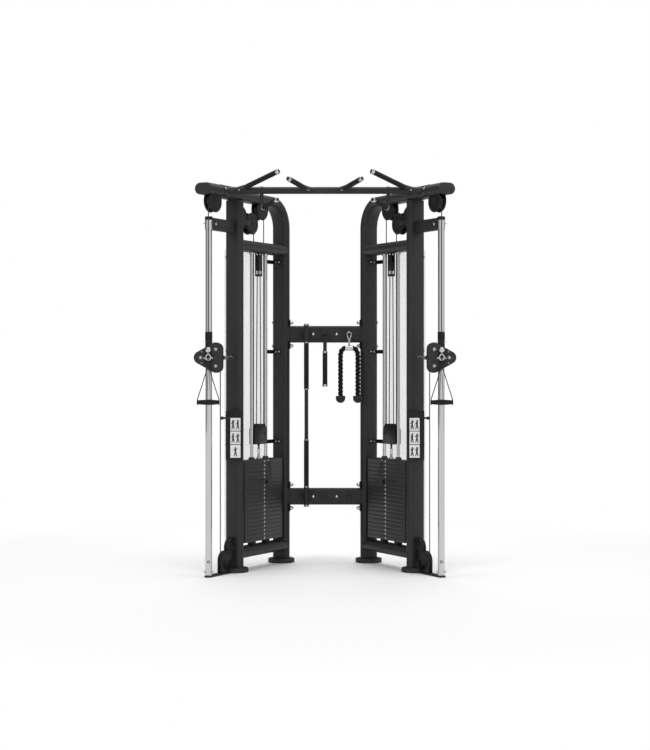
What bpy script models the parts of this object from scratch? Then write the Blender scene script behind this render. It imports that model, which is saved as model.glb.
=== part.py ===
"""Functional trainer: two angled weight towers, a tie frame between them and hung accessories.
Metres, Z up, front towards -Y. Each tower is worked out in its own plan frame: u runs from the
column back to the rear upright, n points to the inner front."""
import math

import bmesh
import bpy
from mathutils import Vector

GAP = 0.0003
TOWER_ANGLE = math.radians(62.0)
COLUMN_X = 0.686

TUBE_WIDE = 0.114
TUBE_DEEP = 0.059
TUBE_WALL = 0.003
FRONT_U = 0.296
REAR_U = 0.868
TOP_Z = 2.281
BEND_R = 0.162
NOSE_U = -0.066
NOSE_ROOT_U = -0.034
UPPER_TIE_DROP = 0.295
LOWER_TIE_Z = 0.106
FOOT_R = 0.084
FOOT_HIGH = 0.028

COLUMN_R = 0.019
COLUMN_DROP = 0.155
CAP_LIP = 0.001
CAP_HIGH = 0.011
ARM_WIDE = 0.040
ARM_DROP = 0.039
ARM_HIGH = 0.072
CLAMP_WALL = 0.005
BASE_THICK = 0.010
BASE_WIDE = 0.048
BASE_FRONT_U = -0.028
BASE_REAR_U = 0.205

CABLE_R = 0.003
CABLE_CLEAR = 0.011
GROOVE_R = 0.045
FLANGE_R = 0.050
PULLEY_WIDE = 0.022
AXLE_R = 0.008
GUARD_R = 0.067
GUARD_IN = 0.0130
GUARD_OUT = 0.0240
TOP_PULLEY_DROP = 0.060
MID_DROP = 0.157
UPRIGHT_PULLEY_DROP = 0.1245
DROP_U = 0.300
DROP_TOP_U = 0.288
RISE_U = 0.130
BASE_LOW_Z = 0.080
BASE_HIGH_Z = 0.153
HOUSE_R = 0.060
HOUSE_HALF = 0.016

STACK_U = 0.582
LINE_OUT = 0.062
SMALL_U = 0.045
SMALL_PATH_R = 0.017
SMALL_FLANGE_R = 0.022
SMALL_WIDE = 0.020
SMALL_AXLE_R = 0.005
SMALL_Z = 0.828
BLOCK_LONG = 0.144
BLOCK_LOW = 0.770
BLOCK_TOP = 0.889
BLOCK_IN = 0.0150
BLOCK_PLATE = 0.004
SADDLE_DROP = 0.096
SADDLE_LONG = 0.181
SADDLE_HALF_U = 0.024
SADDLE_IN = 0.0080
SADDLE_OUT = 0.0145

ROD_U = 0.085
ROD_R = 0.0100
PLATE_LONG = 0.460
PLATE_WIDE = 0.085
PLATE_THICK = 0.025
PLATE_GROOVE = 0.0018
STACK_LOW = 0.169
REST_COUNT = 14
LIFT_COUNT = 6
STEM_R = 0.012
STEM_LOW = 0.200
BUSHING_R = 0.021
BUSHING_HIGH = 0.022
BUMPER_R = 0.026
PIN_R = 0.005
KNOB_R = 0.011
KNOB_IN = 0.0455
KNOB_OUT = 0.078
LANYARD_R = 0.002

SHROUD_N = -0.060
SHROUD_THICK = 0.004
SHROUD_U = (0.276, 0.800)
SHROUD_LOW = 0.150
SHROUD_DROP = 0.031
BRACKET_Z = (0.770, 1.340, 1.910)

SLEEVE_WALL = 0.005
SLEEVE_Z = (1.240, 1.449)
CARRIAGE_Z = 1.296
LOBE_R = 0.038
LOBES = ((0.044, 0.052), (0.044, -0.052), (-0.049, 0.0))
FRONT_PLATE_GAP = 0.0015
FRONT_PLATE_THICK = 0.010
REAR_PLATE_Y = (0.080, 0.086)
SPACER_R = 0.010
BALL_R = 0.018
BALL_OUT = 0.031
BALL_Z = 1.340
LEVER_Y = 0.0585
LEVER_R = 0.008
LEVER_BOSS_X = (0.060, 0.086)
LEVER_BOSS_Y = 0.034
GRIP_Z = 1.033
GRIP_R = 0.0145
GRIP_LONG = 0.132
STRAP_TOP_Z = 1.243
STRAP_TOP_HALF = 0.004
STRAP_WIDE = 0.024
STRAP_THICK = 0.004
LINK_R = 0.004

BEAM_HIGH = 0.107
BEAM_DEEP = 0.050
BEAM_UPPER_Z = 1.451
BEAM_LOWER_Z = 0.420
FLANGE_HIGH = 0.187
HANG_FORWARD = 0.060
PEG_R = 0.006
PEG_X = (-0.154, 0.0, 0.152)
LONG_BAR_X = -0.1175
LONG_BAR_Z = (0.360, 1.516)
LONG_GRIP_Z = ((0.490, 0.780), (1.106, 1.394))
LONG_R = 0.0123
LONG_END_R = 0.0160
LONG_GRIP_R = 0.0152
SHORT_BAR_Z = (1.118, 1.440)
SHORT_R = 0.0110
SHORT_GRIP_R = 0.0148
ROPE_X = 0.1525
ROPE_HALF = 0.0545
ROPE_R = 0.0138
ROPE_TOP_Z = 1.357
ROPE_LOW_Z = 1.045
CUP_R = 0.0305

BOARD_WIDE = 0.104
BOARD_Z = (0.678, 0.980)

CHIN_R = 0.0195
CHIN_RISE = 0.0135
CHIN_U = 0.120
CHIN_GRIP_R = 0.0155
DROP_GRIP_X = (0.3777, 0.2794)
DROP_GRIP_FORWARD = 0.140
DROP_GRIP_DOWN = (0.1068, 0.0689)
DROP_POST_R = 0.0115
DROP_POST_PROUD = 0.0025

CU = math.cos(TOWER_ANGLE)
SU = math.sin(TOWER_ANGLE)
UPPER_TIE_Z = TOP_Z - UPPER_TIE_DROP
COLUMN_TOP = TOP_Z - COLUMN_DROP
ARM_Z = COLUMN_TOP - ARM_DROP
CHIN_Z = TOP_Z + CHIN_RISE
TOP_PULLEY_Z = TOP_Z - TOP_PULLEY_DROP
MID_Z = TOP_Z - MID_DROP
UPRIGHT_PULLEY_Z = TOP_Z - UPRIGHT_PULLEY_DROP
SADDLE_Z = UPPER_TIE_Z - SADDLE_DROP
SADDLE_LOW = UPPER_TIE_Z - SADDLE_LONG
SHROUD_Z = (SHROUD_LOW, UPPER_TIE_Z - SHROUD_DROP)
CAP_R = COLUMN_R + CAP_LIP
CLAMP_R = COLUMN_R + CLAMP_WALL
SLEEVE_R = COLUMN_R + SLEEVE_WALL
CABLE_FRONT = COLUMN_R + CABLE_CLEAR
FRONT_PLATE_BACK = -COLUMN_R - FRONT_PLATE_GAP
FRONT_PLATE_Y = (FRONT_PLATE_BACK - FRONT_PLATE_THICK, FRONT_PLATE_BACK)
BALL_Y = -COLUMN_R - BALL_OUT
PATH_R = GROOVE_R + CABLE_R + GAP
STACK_MID = STACK_LOW + REST_COUNT * PLATE_THICK
STACK_TOP = STACK_MID + LIFT_COUNT * PLATE_THICK
CABLE_U = -CABLE_FRONT * SU
CABLE_N = CABLE_FRONT * CU
TOP_FRONT_U = CABLE_U + PATH_R
TOP_REAR_U = STACK_U + LINE_OUT - PATH_R
MID_U = STACK_U - LINE_OUT - PATH_R
UPRIGHT_PULLEY_U = DROP_TOP_U + PATH_R
BASE_HIGH_U = DROP_U - PATH_R
BASE_LOW_U = RISE_U + PATH_R
PIN_Z = STACK_MID + PLATE_THICK / 2
TUBE_LOW = TOP_Z - TUBE_DEEP / 2
NOSE_STEPS = ((0.0, 1.02), (0.80, 1.02), (0.93, 1.0), (1.0, 0.94))


def nose_station(step):
    return NOSE_ROOT_U + step[0] * (NOSE_U - NOSE_ROOT_U)


FRONT_EDGE = min(nose_station(s) * SU - s[1] * TUBE_WIDE / 2 * CU for s in NOSE_STEPS)
REAR_EDGE = REAR_U * SU + FOOT_R
Y_SHIFT = -(FRONT_EDGE + REAR_EDGE) / 2
REAR_X = COLUMN_X - REAR_U * CU
REAR_Y = REAR_U * SU + Y_SHIFT
BEAM_Y = REAR_Y - 0.014
BEAM_FACE = BEAM_Y - BEAM_DEEP / 2
HANG_Y = BEAM_FACE - HANG_FORWARD
CHIN_Y = CHIN_U * SU + Y_SHIFT
TUBE_FLAT = (TUBE_WIDE - TUBE_DEEP) / 2
FLANGE_X = REAR_X - TUBE_FLAT * SU - TUBE_DEEP / 2 - 0.002
CHIN_HALF = COLUMN_X - CHIN_U * CU - TUBE_FLAT * SU

for old in list(bpy.data.objects):
    bpy.data.objects.remove(old, do_unlink=True)

made_materials = {}


def finish(name, colour, rough, metal):
    if name not in made_materials:
        mat = bpy.data.materials.new(name)
        mat.use_nodes = True
        shader = mat.node_tree.nodes["Principled BSDF"]
        shader.inputs["Base Color"].default_value = (*colour, 1.0)
        shader.inputs["Roughness"].default_value = rough
        shader.inputs["Metallic"].default_value = metal
        made_materials[name] = mat
    return made_materials[name]


COAT = finish("powder coat", (0.032, 0.033, 0.036), 0.45, 0.0)
CHROME = finish("chrome", (0.78, 0.78, 0.79), 0.12, 1.0)
BLACK = finish("black plastic", (0.014, 0.014, 0.015), 0.45, 0.0)
RUBBER = finish("rubber", (0.012, 0.012, 0.012), 0.75, 0.0)
IRON = finish("black iron", (0.018, 0.018, 0.019), 0.55, 0.0)
CLEAR = finish("clear sheet", (0.62, 0.64, 0.66), 0.25, 0.0)


def tower(side):
    def at(u, n, z):
        return Vector((side * (COLUMN_X - u * CU - n * SU), u * SU - n * CU + Y_SHIFT, z))
    return at


def front(side):
    def at(x, y, z):
        return Vector((side * (COLUMN_X - x), y + Y_SHIFT, z))
    return at


def level(x, y, z):
    return Vector((x, y, z))


def loft(rings, inner=None):
    count = len(rings[0])
    points = [p for ring in rings for p in ring]
    faces = []

    def skin(start, total):
        for r in range(total - 1):
            for i in range(count):
                j = (i + 1) % count
                a = start + r * count
                faces.append((a + i, a + j, a + count + j, a + count + i))

    skin(0, len(rings))
    last = (len(rings) - 1) * count
    if inner is None:
        faces.append(tuple(range(count)))
        faces.append(tuple(range(last, last + count)))
        return points, faces
    start = len(points)
    points += [p for ring in inner for p in ring]
    skin(start, len(inner))
    end = start + (len(inner) - 1) * count
    for i in range(count):
        j = (i + 1) % count
        faces.append((i, j, start + j, start + i))
        faces.append((last + i, last + j, end + j, end + i))
    return points, faces


def block(at, lo, hi):
    corners = ((0, 0), (1, 0), (1, 1), (0, 1))
    ends = (lo, hi)
    rings = [[at(ends[i][0], ends[j][1], end[2]) for i, j in corners] for end in ends]
    return loft(rings)


def plate(at, outline, lo, hi):
    return loft([[at(p, q, h) for p, q in outline] for h in (lo, hi)])


def circle(radius, segs, centre=(0.0, 0.0), start=0.0):
    turn = 2 * math.pi / segs
    return [(centre[0] + radius * math.cos(start + turn * i), centre[1] + radius * math.sin(start + turn * i))
            for i in range(segs)]


def basis(axis):
    axis = axis.normalized()
    helper = Vector((0, 0, 1)) if abs(axis.z) < 0.9 else Vector((1, 0, 0))
    first = axis.cross(helper).normalized()
    return first, axis.cross(first)


def rod(start, end, radius, segs=12):
    first, second = basis(end - start)
    ring = circle(radius, segs)
    return loft([[p + first * a + second * b for a, b in ring] for p in (start, end)])


def turned(centre, axis, profile, segs=24):
    axis = axis.normalized()
    first, second = basis(axis)
    ring = circle(1.0, segs)
    if profile[0][0] > 0:
        loops = [[centre + axis * h + (first * a + second * b) * r for a, b in ring] for r, h in profile]
        count = len(loops)
        points = [p for loop in loops for p in loop]
        faces = []
        for k in range(count):
            m = (k + 1) % count
            for i in range(segs):
                j = (i + 1) % segs
                faces.append((k * segs + i, k * segs + j, m * segs + j, m * segs + i))
        return points, faces
    loops = [[centre + axis * h + (first * a + second * b) * r for a, b in ring] for r, h in profile[1:-1]]
    points = [p for loop in loops for p in loop]
    faces = []
    for k in range(len(loops) - 1):
        for i in range(segs):
            j = (i + 1) % segs
            faces.append((k * segs + i, k * segs + j, (k + 1) * segs + j, (k + 1) * segs + i))
    for tip, k in ((profile[0], 0), (profile[-1], len(loops) - 1)):
        points.append(centre + axis * tip[1])
        for i in range(segs):
            faces.append((k * segs + i, k * segs + (i + 1) % segs, len(points) - 1))
    return points, faces


def sweep(path, section, up, closed=False):
    rings = []
    total = len(path)
    for i, p in enumerate(path):
        before = path[i - 1] if i or closed else None
        after = path[(i + 1) % total] if i < total - 1 or closed else None
        go_in = (p - before).normalized() if before is not None else (after - p).normalized()
        go_out = (after - p).normalized() if after is not None else go_in
        along = (go_in + go_out).normalized()
        across = along.cross(up).normalized()
        lift = across.cross(along).normalized()
        stretch = 1.0 / max(0.5, along.dot(go_in))
        rings.append([p + lift * a + across * b * stretch for a, b in section])
    if not closed:
        return loft(rings)
    count = len(section)
    points = [p for ring in rings for p in ring]
    faces = []
    for r in range(total):
        s = (r + 1) % total
        for i in range(count):
            j = (i + 1) % count
            faces.append((r * count + i, r * count + j, s * count + j, s * count + i))
    return points, faces


def arc(centre, radius, start, end, steps):
    turn = math.radians(end - start) / steps
    first = math.radians(start)
    return [(centre[0] + radius * math.cos(first + turn * i), centre[1] + radius * math.sin(first + turn * i))
            for i in range(steps + 1)]


def stadium(wide, deep, steps=4):
    r = deep / 2
    straight = wide / 2 - r
    return arc((straight, 0), r, -90, 90, steps) + arc((-straight, 0), r, 90, 270, steps)


def round_box(long, wide, radius, steps=1):
    a = long / 2 - radius
    b = wide / 2 - radius
    return (arc((a, b), radius, 0, 90, steps) + arc((-a, b), radius, 90, 180, steps)
            + arc((-a, -b), radius, 180, 270, steps) + arc((a, -b), radius, 270, 360, steps))


def hull(points):
    points = sorted(set(points))

    def half(run):
        out = []
        for p in run:
            while len(out) > 1 and ((out[-1][0] - out[-2][0]) * (p[1] - out[-2][1])
                                    - (out[-1][1] - out[-2][1]) * (p[0] - out[-2][0])) <= 1e-9:
                out.pop()
            out.append(p)
        return out[:-1]
    return half(points) + half(points[::-1])


def lobes(centres, radius, segs):
    return hull([p for c in centres for p in circle(radius, segs, c)])


def shape(name, data, origin):
    work = bmesh.new()
    made = [work.verts.new(p - origin) for p in data[0]]
    for face in data[1]:
        work.faces.new([made[i] for i in face])
    bmesh.ops.recalc_face_normals(work, faces=work.faces)
    mesh = bpy.data.meshes.new(name)
    work.to_mesh(mesh)
    work.free()
    made_object = bpy.data.objects.new(name, mesh)
    made_object.location = origin
    bpy.context.scene.collection.objects.link(made_object)
    return made_object


def node(name, base, coat, origin, add=(), cut=(), then=()):
    main = shape(name, base, origin)
    main.data.materials.append(coat)
    steps = [("UNION", d) for d in add] + [("DIFFERENCE", d) for d in cut] + [("UNION", d) for d in then]
    for i, (kind, data) in enumerate(steps):
        helper = shape(f"{name}_tool_{i}", data, origin)
        helper.hide_render = True
        helper.hide_viewport = False
        helper.display_type = "WIRE"
        mod = main.modifiers.new(f"{kind.lower()} {i}", "BOOLEAN")
        mod.operation = kind
        mod.solver = "EXACT"
        mod.object = helper
    return main


def upright_tube(at, u, low, high):
    def ring(z, trim):
        section = stadium(TUBE_WIDE - trim, TUBE_DEEP - trim)
        return [at(u + b, a, z) for a, b in section]
    wall = 2 * TUBE_WALL
    return loft([ring(low, 0), ring(high, 0)], [ring(low, wall), ring(high, wall)])


def tie_tube(at, z):
    start = FRONT_U + TUBE_DEEP / 2 + GAP
    end = REAR_U - TUBE_DEEP / 2 - GAP

    def ring(u, trim):
        return [at(u, a, z + b) for a, b in stadium(TUBE_WIDE - trim, TUBE_DEEP - trim)]
    wall = 2 * TUBE_WALL
    return loft([ring(start, 0), ring(end, 0)], [ring(start, wall), ring(end, wall)])


def bent_tube(at):
    bend_u = REAR_U - BEND_R
    bend_z = TOP_Z - BEND_R
    stations = [(REAR_U, FOOT_HIGH, 0.0)]
    for i in range(9):
        turn = math.radians(90 * i / 8)
        stations.append((bend_u + BEND_R * math.cos(turn), bend_z + BEND_R * math.sin(turn), turn))
    stations.append((NOSE_ROOT_U - 0.012, TOP_Z, math.radians(90)))

    def ring(station, trim):
        u, z, turn = station
        section = stadium(TUBE_WIDE - trim, TUBE_DEEP - trim)
        return [at(u + b * math.cos(turn), a, z + b * math.sin(turn)) for a, b in section]
    wall = 2 * TUBE_WALL
    return loft([ring(s, 0) for s in stations], [ring(s, wall) for s in stations])


def nose(at):
    rings = []
    for step in NOSE_STEPS:
        section = stadium(TUBE_WIDE * step[1], TUBE_DEEP * step[1])
        rings.append([at(nose_station(step), a, TOP_Z + b) for a, b in section])
    return loft(rings)


def disc(at, u, z, n_in, n_out, radius, segs=16):
    return rod(at(u, n_in, z), at(u, n_out, z), radius, segs)


def guards(at, u, z, n=0.0):
    return [disc(at, u, z, n + GUARD_IN, n + GUARD_OUT, GUARD_R),
            disc(at, u, z, n - GUARD_OUT, n - GUARD_IN, GUARD_R)]


def axle(at, u, z, n=0.0, half=GUARD_IN + 0.004, radius=AXLE_R):
    return disc(at, u, z, n - half, n + half, radius, 12)


def wheel(name, at, u, z, n=0.0, groove=GROOVE_R, flange=FLANGE_R, wide=PULLEY_WIDE, bore=AXLE_R, segs=16):
    w = wide / 2
    flat = CABLE_R + 0.001
    profile = [(bore + GAP, -w), (flange, -w), (groove, -flat), (groove, flat), (flange, w), (bore + GAP, w)]
    centre = at(u, n, z)
    axis = at(u, n + 1.0, z) - centre
    node(name, turned(centre, axis, profile, segs), BLACK, centre)


def rear_frame(tag, at):
    slot_half = PULLEY_WIDE / 2 + 0.0008
    reach = FLANGE_R + 0.003
    slots = []
    for u, n in ((TOP_FRONT_U, CABLE_N), (TOP_REAR_U, 0.0)):
        slots.append(block(at, (u - reach, n - slot_half, TUBE_LOW - 0.02),
                           (u + reach, n + slot_half, TOP_PULLEY_Z + FLANGE_R + 0.004)))
    add = [nose(at)] + guards(at, TOP_FRONT_U, TOP_PULLEY_Z, CABLE_N) + guards(at, TOP_REAR_U, TOP_PULLEY_Z)
    then = [axle(at, TOP_FRONT_U, TOP_PULLEY_Z, CABLE_N), axle(at, TOP_REAR_U, TOP_PULLEY_Z)]
    node(tag + "rear_frame", bent_tube(at), COAT, at(REAR_U, 0, FOOT_HIGH), add, slots, then)


def front_upright(tag, side, at):
    low = FOOT_HIGH
    high = TUBE_LOW - GAP
    half = TUBE_DEEP / 2
    u_in = FRONT_U - half + 0.0015
    arm_half = ARM_HIGH / 2
    arm = block(at, (0.010, -ARM_WIDE / 2, ARM_Z - arm_half), (u_in, ARM_WIDE / 2, ARM_Z + arm_half))
    ring = rod(at(0, 0, ARM_Z - arm_half), at(0, 0, ARM_Z + arm_half), CLAMP_R, 24)
    bore = rod(at(0, 0, ARM_Z - arm_half - 0.01), at(0, 0, ARM_Z + arm_half + 0.01), COLUMN_R + GAP, 24)
    straps = []
    near = GUARD_IN + 0.001
    far = GUARD_OUT - 0.001
    for lo, hi in ((near, far), (-far, -near)):
        straps.append(block(at, (FRONT_U + half - 0.002, lo, MID_Z - 0.014), (MID_U - 0.02, hi, MID_Z + 0.014)))
    slot_half = PULLEY_WIDE / 2 + 0.0012
    top_slot = block(at, (FRONT_U + half - 0.008, -slot_half, UPRIGHT_PULLEY_Z - 0.056),
                     (FRONT_U + half + 0.004, slot_half, UPRIGHT_PULLEY_Z + 0.062))
    low_slot = block(at, (FRONT_U - half - 0.004, -HOUSE_HALF - 0.0015, 0.072),
                     (FRONT_U - half + 0.008, HOUSE_HALF + 0.0015, BASE_HIGH_Z + HOUSE_R + 0.012))
    guide = rod(at(RISE_U + 0.013, 0, 0.935), at(u_in, 0, 0.935), 0.006, 12)
    mid = at(FRONT_U, 0, 0)
    face = mid.y - TUBE_FLAT * CU - TUBE_DEEP / 2
    board = block(level, (mid.x - BOARD_WIDE / 2, face - 0.014, BOARD_Z[0]),
                  (mid.x + BOARD_WIDE / 2, face - 0.002, BOARD_Z[1]))
    post = block(level, (mid.x - 0.012, face - 0.004, 0.74), (mid.x + 0.012, mid.y - 0.020, 0.92))
    add = [arm, ring] + straps + guards(at, MID_U, MID_Z) + guards(at, UPRIGHT_PULLEY_U, UPRIGHT_PULLEY_Z)
    add += [guide, post, board]
    then = [axle(at, UPRIGHT_PULLEY_U, UPRIGHT_PULLEY_Z), axle(at, MID_U, MID_Z)]
    node(tag + "front_upright", upright_tube(at, FRONT_U, low, high), COAT, at(FRONT_U, 0, low),
         add, [bore, top_slot, low_slot], then)


def ties(tag, at):
    holes = []
    for u in (STACK_U - LINE_OUT, STACK_U + LINE_OUT):
        holes.append(rod(at(u, 0, UPPER_TIE_Z - 0.05), at(u, 0, UPPER_TIE_Z + 0.05), CABLE_R + 0.002, 12))
    under = UPPER_TIE_Z - TUBE_DEEP / 2
    cheeks = []
    for lo, hi in ((SADDLE_IN, SADDLE_OUT), (-SADDLE_OUT, -SADDLE_IN)):
        cheeks.append(block(at, (STACK_U - SADDLE_HALF_U, lo, SADDLE_LOW),
                            (STACK_U + SADDLE_HALF_U, hi, under + 0.0015)))
    saddle = disc(at, STACK_U, SADDLE_Z, -SADDLE_IN - 0.003, SADDLE_IN + 0.003, SMALL_PATH_R - CABLE_R - GAP, 16)
    node(tag + "upper_tie", tie_tube(at, UPPER_TIE_Z), COAT, at(STACK_U, 0, UPPER_TIE_Z),
         cheeks + [saddle], holes)
    bumpers = []
    clear = []
    for sign in (-1, 1):
        u = STACK_U + sign * ROD_U
        top = LOWER_TIE_Z + TUBE_DEEP / 2
        bumpers.append(rod(at(u, 0, top - 0.0015), at(u, 0, STACK_LOW - GAP), BUMPER_R, 14))
        clear.append(rod(at(u, 0, top + GAP), at(u, 0, STACK_LOW + 0.01), ROD_R + GAP, 14))
    node(tag + "lower_tie", tie_tube(at, LOWER_TIE_Z), COAT, at(STACK_U, 0, LOWER_TIE_Z), bumpers, clear)


def foot(name, at, u):
    r = FOOT_R
    h = FOOT_HIGH - GAP
    profile = [(0, 0), (r - 0.006, 0), (r, 0.006), (r, h - 0.008), (r - 0.008, h), (0, h)]
    node(name, turned(at(u, 0, 0), Vector((0, 0, 1)), profile, 20), RUBBER, at(u, 0, 0))


def column(tag, at):
    low = BASE_THICK + GAP
    top = COLUMN_TOP
    inner = COLUMN_R - TUBE_WALL
    profile = [(inner, low), (COLUMN_R, low), (COLUMN_R, top), (CAP_R, top), (CAP_R, top + CAP_HIGH),
               (0.006, top + CAP_HIGH), (0.006, top), (inner, top)]
    node(tag + "column", turned(at(0, 0, 0), Vector((0, 0, 1)), profile, 20), CHROME, at(0, 0, 0))


def column_base(tag, at):
    half = BASE_WIDE / 2
    outline = arc((BASE_FRONT_U + half, 0), half, 90, 270, 8)
    outline += [(BASE_REAR_U, -half), (BASE_REAR_U, half)]
    sole = plate(at, outline, 0.0, BASE_THICK)
    centres = ((BASE_LOW_U, BASE_LOW_Z), (BASE_HIGH_U, BASE_HIGH_Z))

    def side_on(p, q, h):
        return at(p, h, q)

    def boot(radius, half):
        between = Vector(centres[1]) - Vector(centres[0])
        lean = math.degrees(math.atan2(between.y, between.x))
        notch = math.degrees(math.acos(between.length / 2 / radius))
        low = arc(centres[0], radius, lean - 90, lean + notch - 360, 16)
        high = arc(centres[1], radius, lean + 180 - notch, lean - 90, 16)
        return plate(side_on, low + high[1:], -half, half)
    shell = boot(HOUSE_R, HOUSE_HALF)
    room = boot(FLANGE_R + 0.0035, PULLEY_WIDE / 2 + 0.0012)
    stand = block(at, (BASE_LOW_U - 0.045, -HOUSE_HALF, BASE_THICK - 0.002),
                  (BASE_REAR_U - 0.001, HOUSE_HALF, BASE_LOW_Z - 0.02))
    mouth_front = block(at, (RISE_U - 0.007, -0.006, BASE_LOW_Z + 0.004), (RISE_U + 0.007, 0.006, BASE_LOW_Z + 0.07))
    mouth_rear = block(at, (DROP_U - 0.007, -0.006, BASE_HIGH_Z + 0.004), (DROP_U + 0.007, 0.006, BASE_HIGH_Z + 0.07))
    then = [axle(at, u, z) for u, z in centres]
    node(tag + "column_base", sole, BLACK, at(0, 0, 0), [stand, shell], [room, mouth_front, mouth_rear], then)


def guide_rods(tag, at):
    low = LOWER_TIE_Z + TUBE_DEEP / 2 + 2 * GAP
    high = UPPER_TIE_Z - TUBE_DEEP / 2 - GAP
    for word, sign in (("front", -1), ("rear", 1)):
        u = STACK_U + sign * ROD_U
        node(f"{tag}guide_rod_{word}", rod(at(u, 0, low), at(u, 0, high), ROD_R, 14), CHROME, at(u, 0, low))


def plates(at, low, count):
    rings = []
    full = round_box(PLATE_LONG, PLATE_WIDE, 0.010)
    slim = round_box(PLATE_LONG - 2 * PLATE_GROOVE, PLATE_WIDE - 2 * PLATE_GROOVE, 0.010)
    lip = 0.0012
    for i in range(count):
        z = low + i * PLATE_THICK
        for section, height in ((slim, 0.0 if i else GAP), (full, lip + GAP), (full, PLATE_THICK - lip)):
            rings.append([at(STACK_U + p, q, z + height) for p, q in section])
    top = low + count * PLATE_THICK
    rings.append([at(STACK_U + p, q, top) for p, q in slim])
    return loft(rings)


def rod_holes(at, low, high):
    out = []
    for sign in (-1, 1):
        u = STACK_U + sign * ROD_U
        out.append(rod(at(u, 0, low), at(u, 0, high), ROD_R + 0.001, 14))
    return out


def weights(tag, at):
    stem_hole = rod(at(STACK_U, 0, STACK_LOW - 0.01), at(STACK_U, 0, STACK_MID + 0.01), STEM_R + 0.002, 16)
    node(tag + "rest_plates", plates(at, STACK_LOW, REST_COUNT), IRON, at(STACK_U, 0, STACK_LOW),
         (), rod_holes(at, STACK_LOW - 0.01, STACK_MID + 0.01) + [stem_hole])
    stem_low = rod(at(STACK_U, 0, STEM_LOW), at(STACK_U, 0, STACK_MID + 0.01), STEM_R, 16)
    stem_high = rod(at(STACK_U, 0, STACK_TOP - 0.01), at(STACK_U, 0, BLOCK_LOW + 0.006), STEM_R, 16)
    add = [stem_low, stem_high]
    for sign in (-1, 1):
        u = STACK_U + sign * ROD_U
        add.append(rod(at(u, 0, STACK_TOP - 0.004), at(u, 0, STACK_TOP + BUSHING_HIGH), BUSHING_R, 14))
    long = BLOCK_LONG / 2
    out = BLOCK_IN + BLOCK_PLATE
    add.append(block(at, (STACK_U - long + 0.001, -out + 0.001, BLOCK_LOW), (STACK_U + long - 0.001, out - 0.001,
                                                                             BLOCK_LOW + 0.010)))
    for lo, hi in ((BLOCK_IN, out), (-out, -BLOCK_IN)):
        def side_on(p, q, h):
            return at(STACK_U + p, h, (BLOCK_LOW + BLOCK_TOP) / 2 + q)
        add.append(plate(side_on, round_box(BLOCK_LONG, BLOCK_TOP - BLOCK_LOW, 0.020, 3), lo, hi))
    cut = rod_holes(at, STACK_MID - 0.01, STACK_TOP + BUSHING_HIGH + 0.01)
    cut.append(rod(at(STACK_U, -PIN_R - GAP, PIN_Z), at(STACK_U, PLATE_WIDE, PIN_Z), PIN_R + GAP, 12))
    then = [axle(at, STACK_U + s * SMALL_U, SMALL_Z, 0.0, BLOCK_IN + 0.002, SMALL_AXLE_R) for s in (-1, 1)]
    node(tag + "weight_head", plates(at, STACK_MID, LIFT_COUNT), IRON, at(STACK_U, 0, STACK_MID), add, cut, then)


def selector(tag, at):
    centre = at(STACK_U, 0, PIN_Z)
    axis = at(STACK_U, 1, PIN_Z) - centre
    profile = [(0, -PIN_R), (PIN_R, -PIN_R), (PIN_R, KNOB_IN), (KNOB_R, KNOB_IN), (KNOB_R, KNOB_OUT - 0.004),
               (KNOB_R - 0.004, KNOB_OUT), (0, KNOB_OUT)]
    node(tag + "selector_pin", turned(centre, axis, profile, 16), BLACK, at(STACK_U, KNOB_IN, PIN_Z))
    face = PLATE_WIDE / 2 + LANYARD_R + GAP
    knob = KNOB_R + LANYARD_R + GAP
    marks = ((0.045, face, STACK_TOP - 0.012), (0.058, face + 0.002, STACK_TOP - 0.040),
             (0.062, face + 0.006, STACK_TOP - 0.072), (0.056, face + 0.010, STACK_TOP - 0.100),
             (0.040, face + 0.013, STACK_TOP - 0.119), (0.026, face + 0.014, STACK_TOP - 0.1245),
             (knob, face + 0.014, PIN_Z))
    path = [at(STACK_U + u, n, z) for u, n, z in marks]
    node(tag + "pin_lanyard", sweep(path, circle(LANYARD_R, 6), axis), RUBBER, path[0])


def shroud(tag, at):
    out = SHROUD_N - SHROUD_THICK / 2
    inn = SHROUD_N + SHROUD_THICK / 2
    sheet = block(at, (SHROUD_U[0], out, SHROUD_Z[0]), (SHROUD_U[1], inn, SHROUD_Z[1]))
    add = []
    rear_face = REAR_U - TUBE_DEEP / 2 - GAP
    for z in BRACKET_Z:
        lo = z - 0.013
        hi = z + 0.013
        add.append(block(at, (SHROUD_U[1] - 0.020, inn - 0.001, lo), (rear_face, -0.046, hi)))
        add.append(block(at, (rear_face - 0.005, -0.047, lo + 0.001), (rear_face, 0.012, hi - 0.001)))
        add.append(block(at, (FRONT_U - 0.012, inn - 0.001, lo), (FRONT_U + 0.012, -TUBE_WIDE / 2 - GAP, hi)))
    node(tag + "shroud", sheet, CLEAR, at(SHROUD_U[0], SHROUD_N, SHROUD_Z[0]), add)


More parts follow.
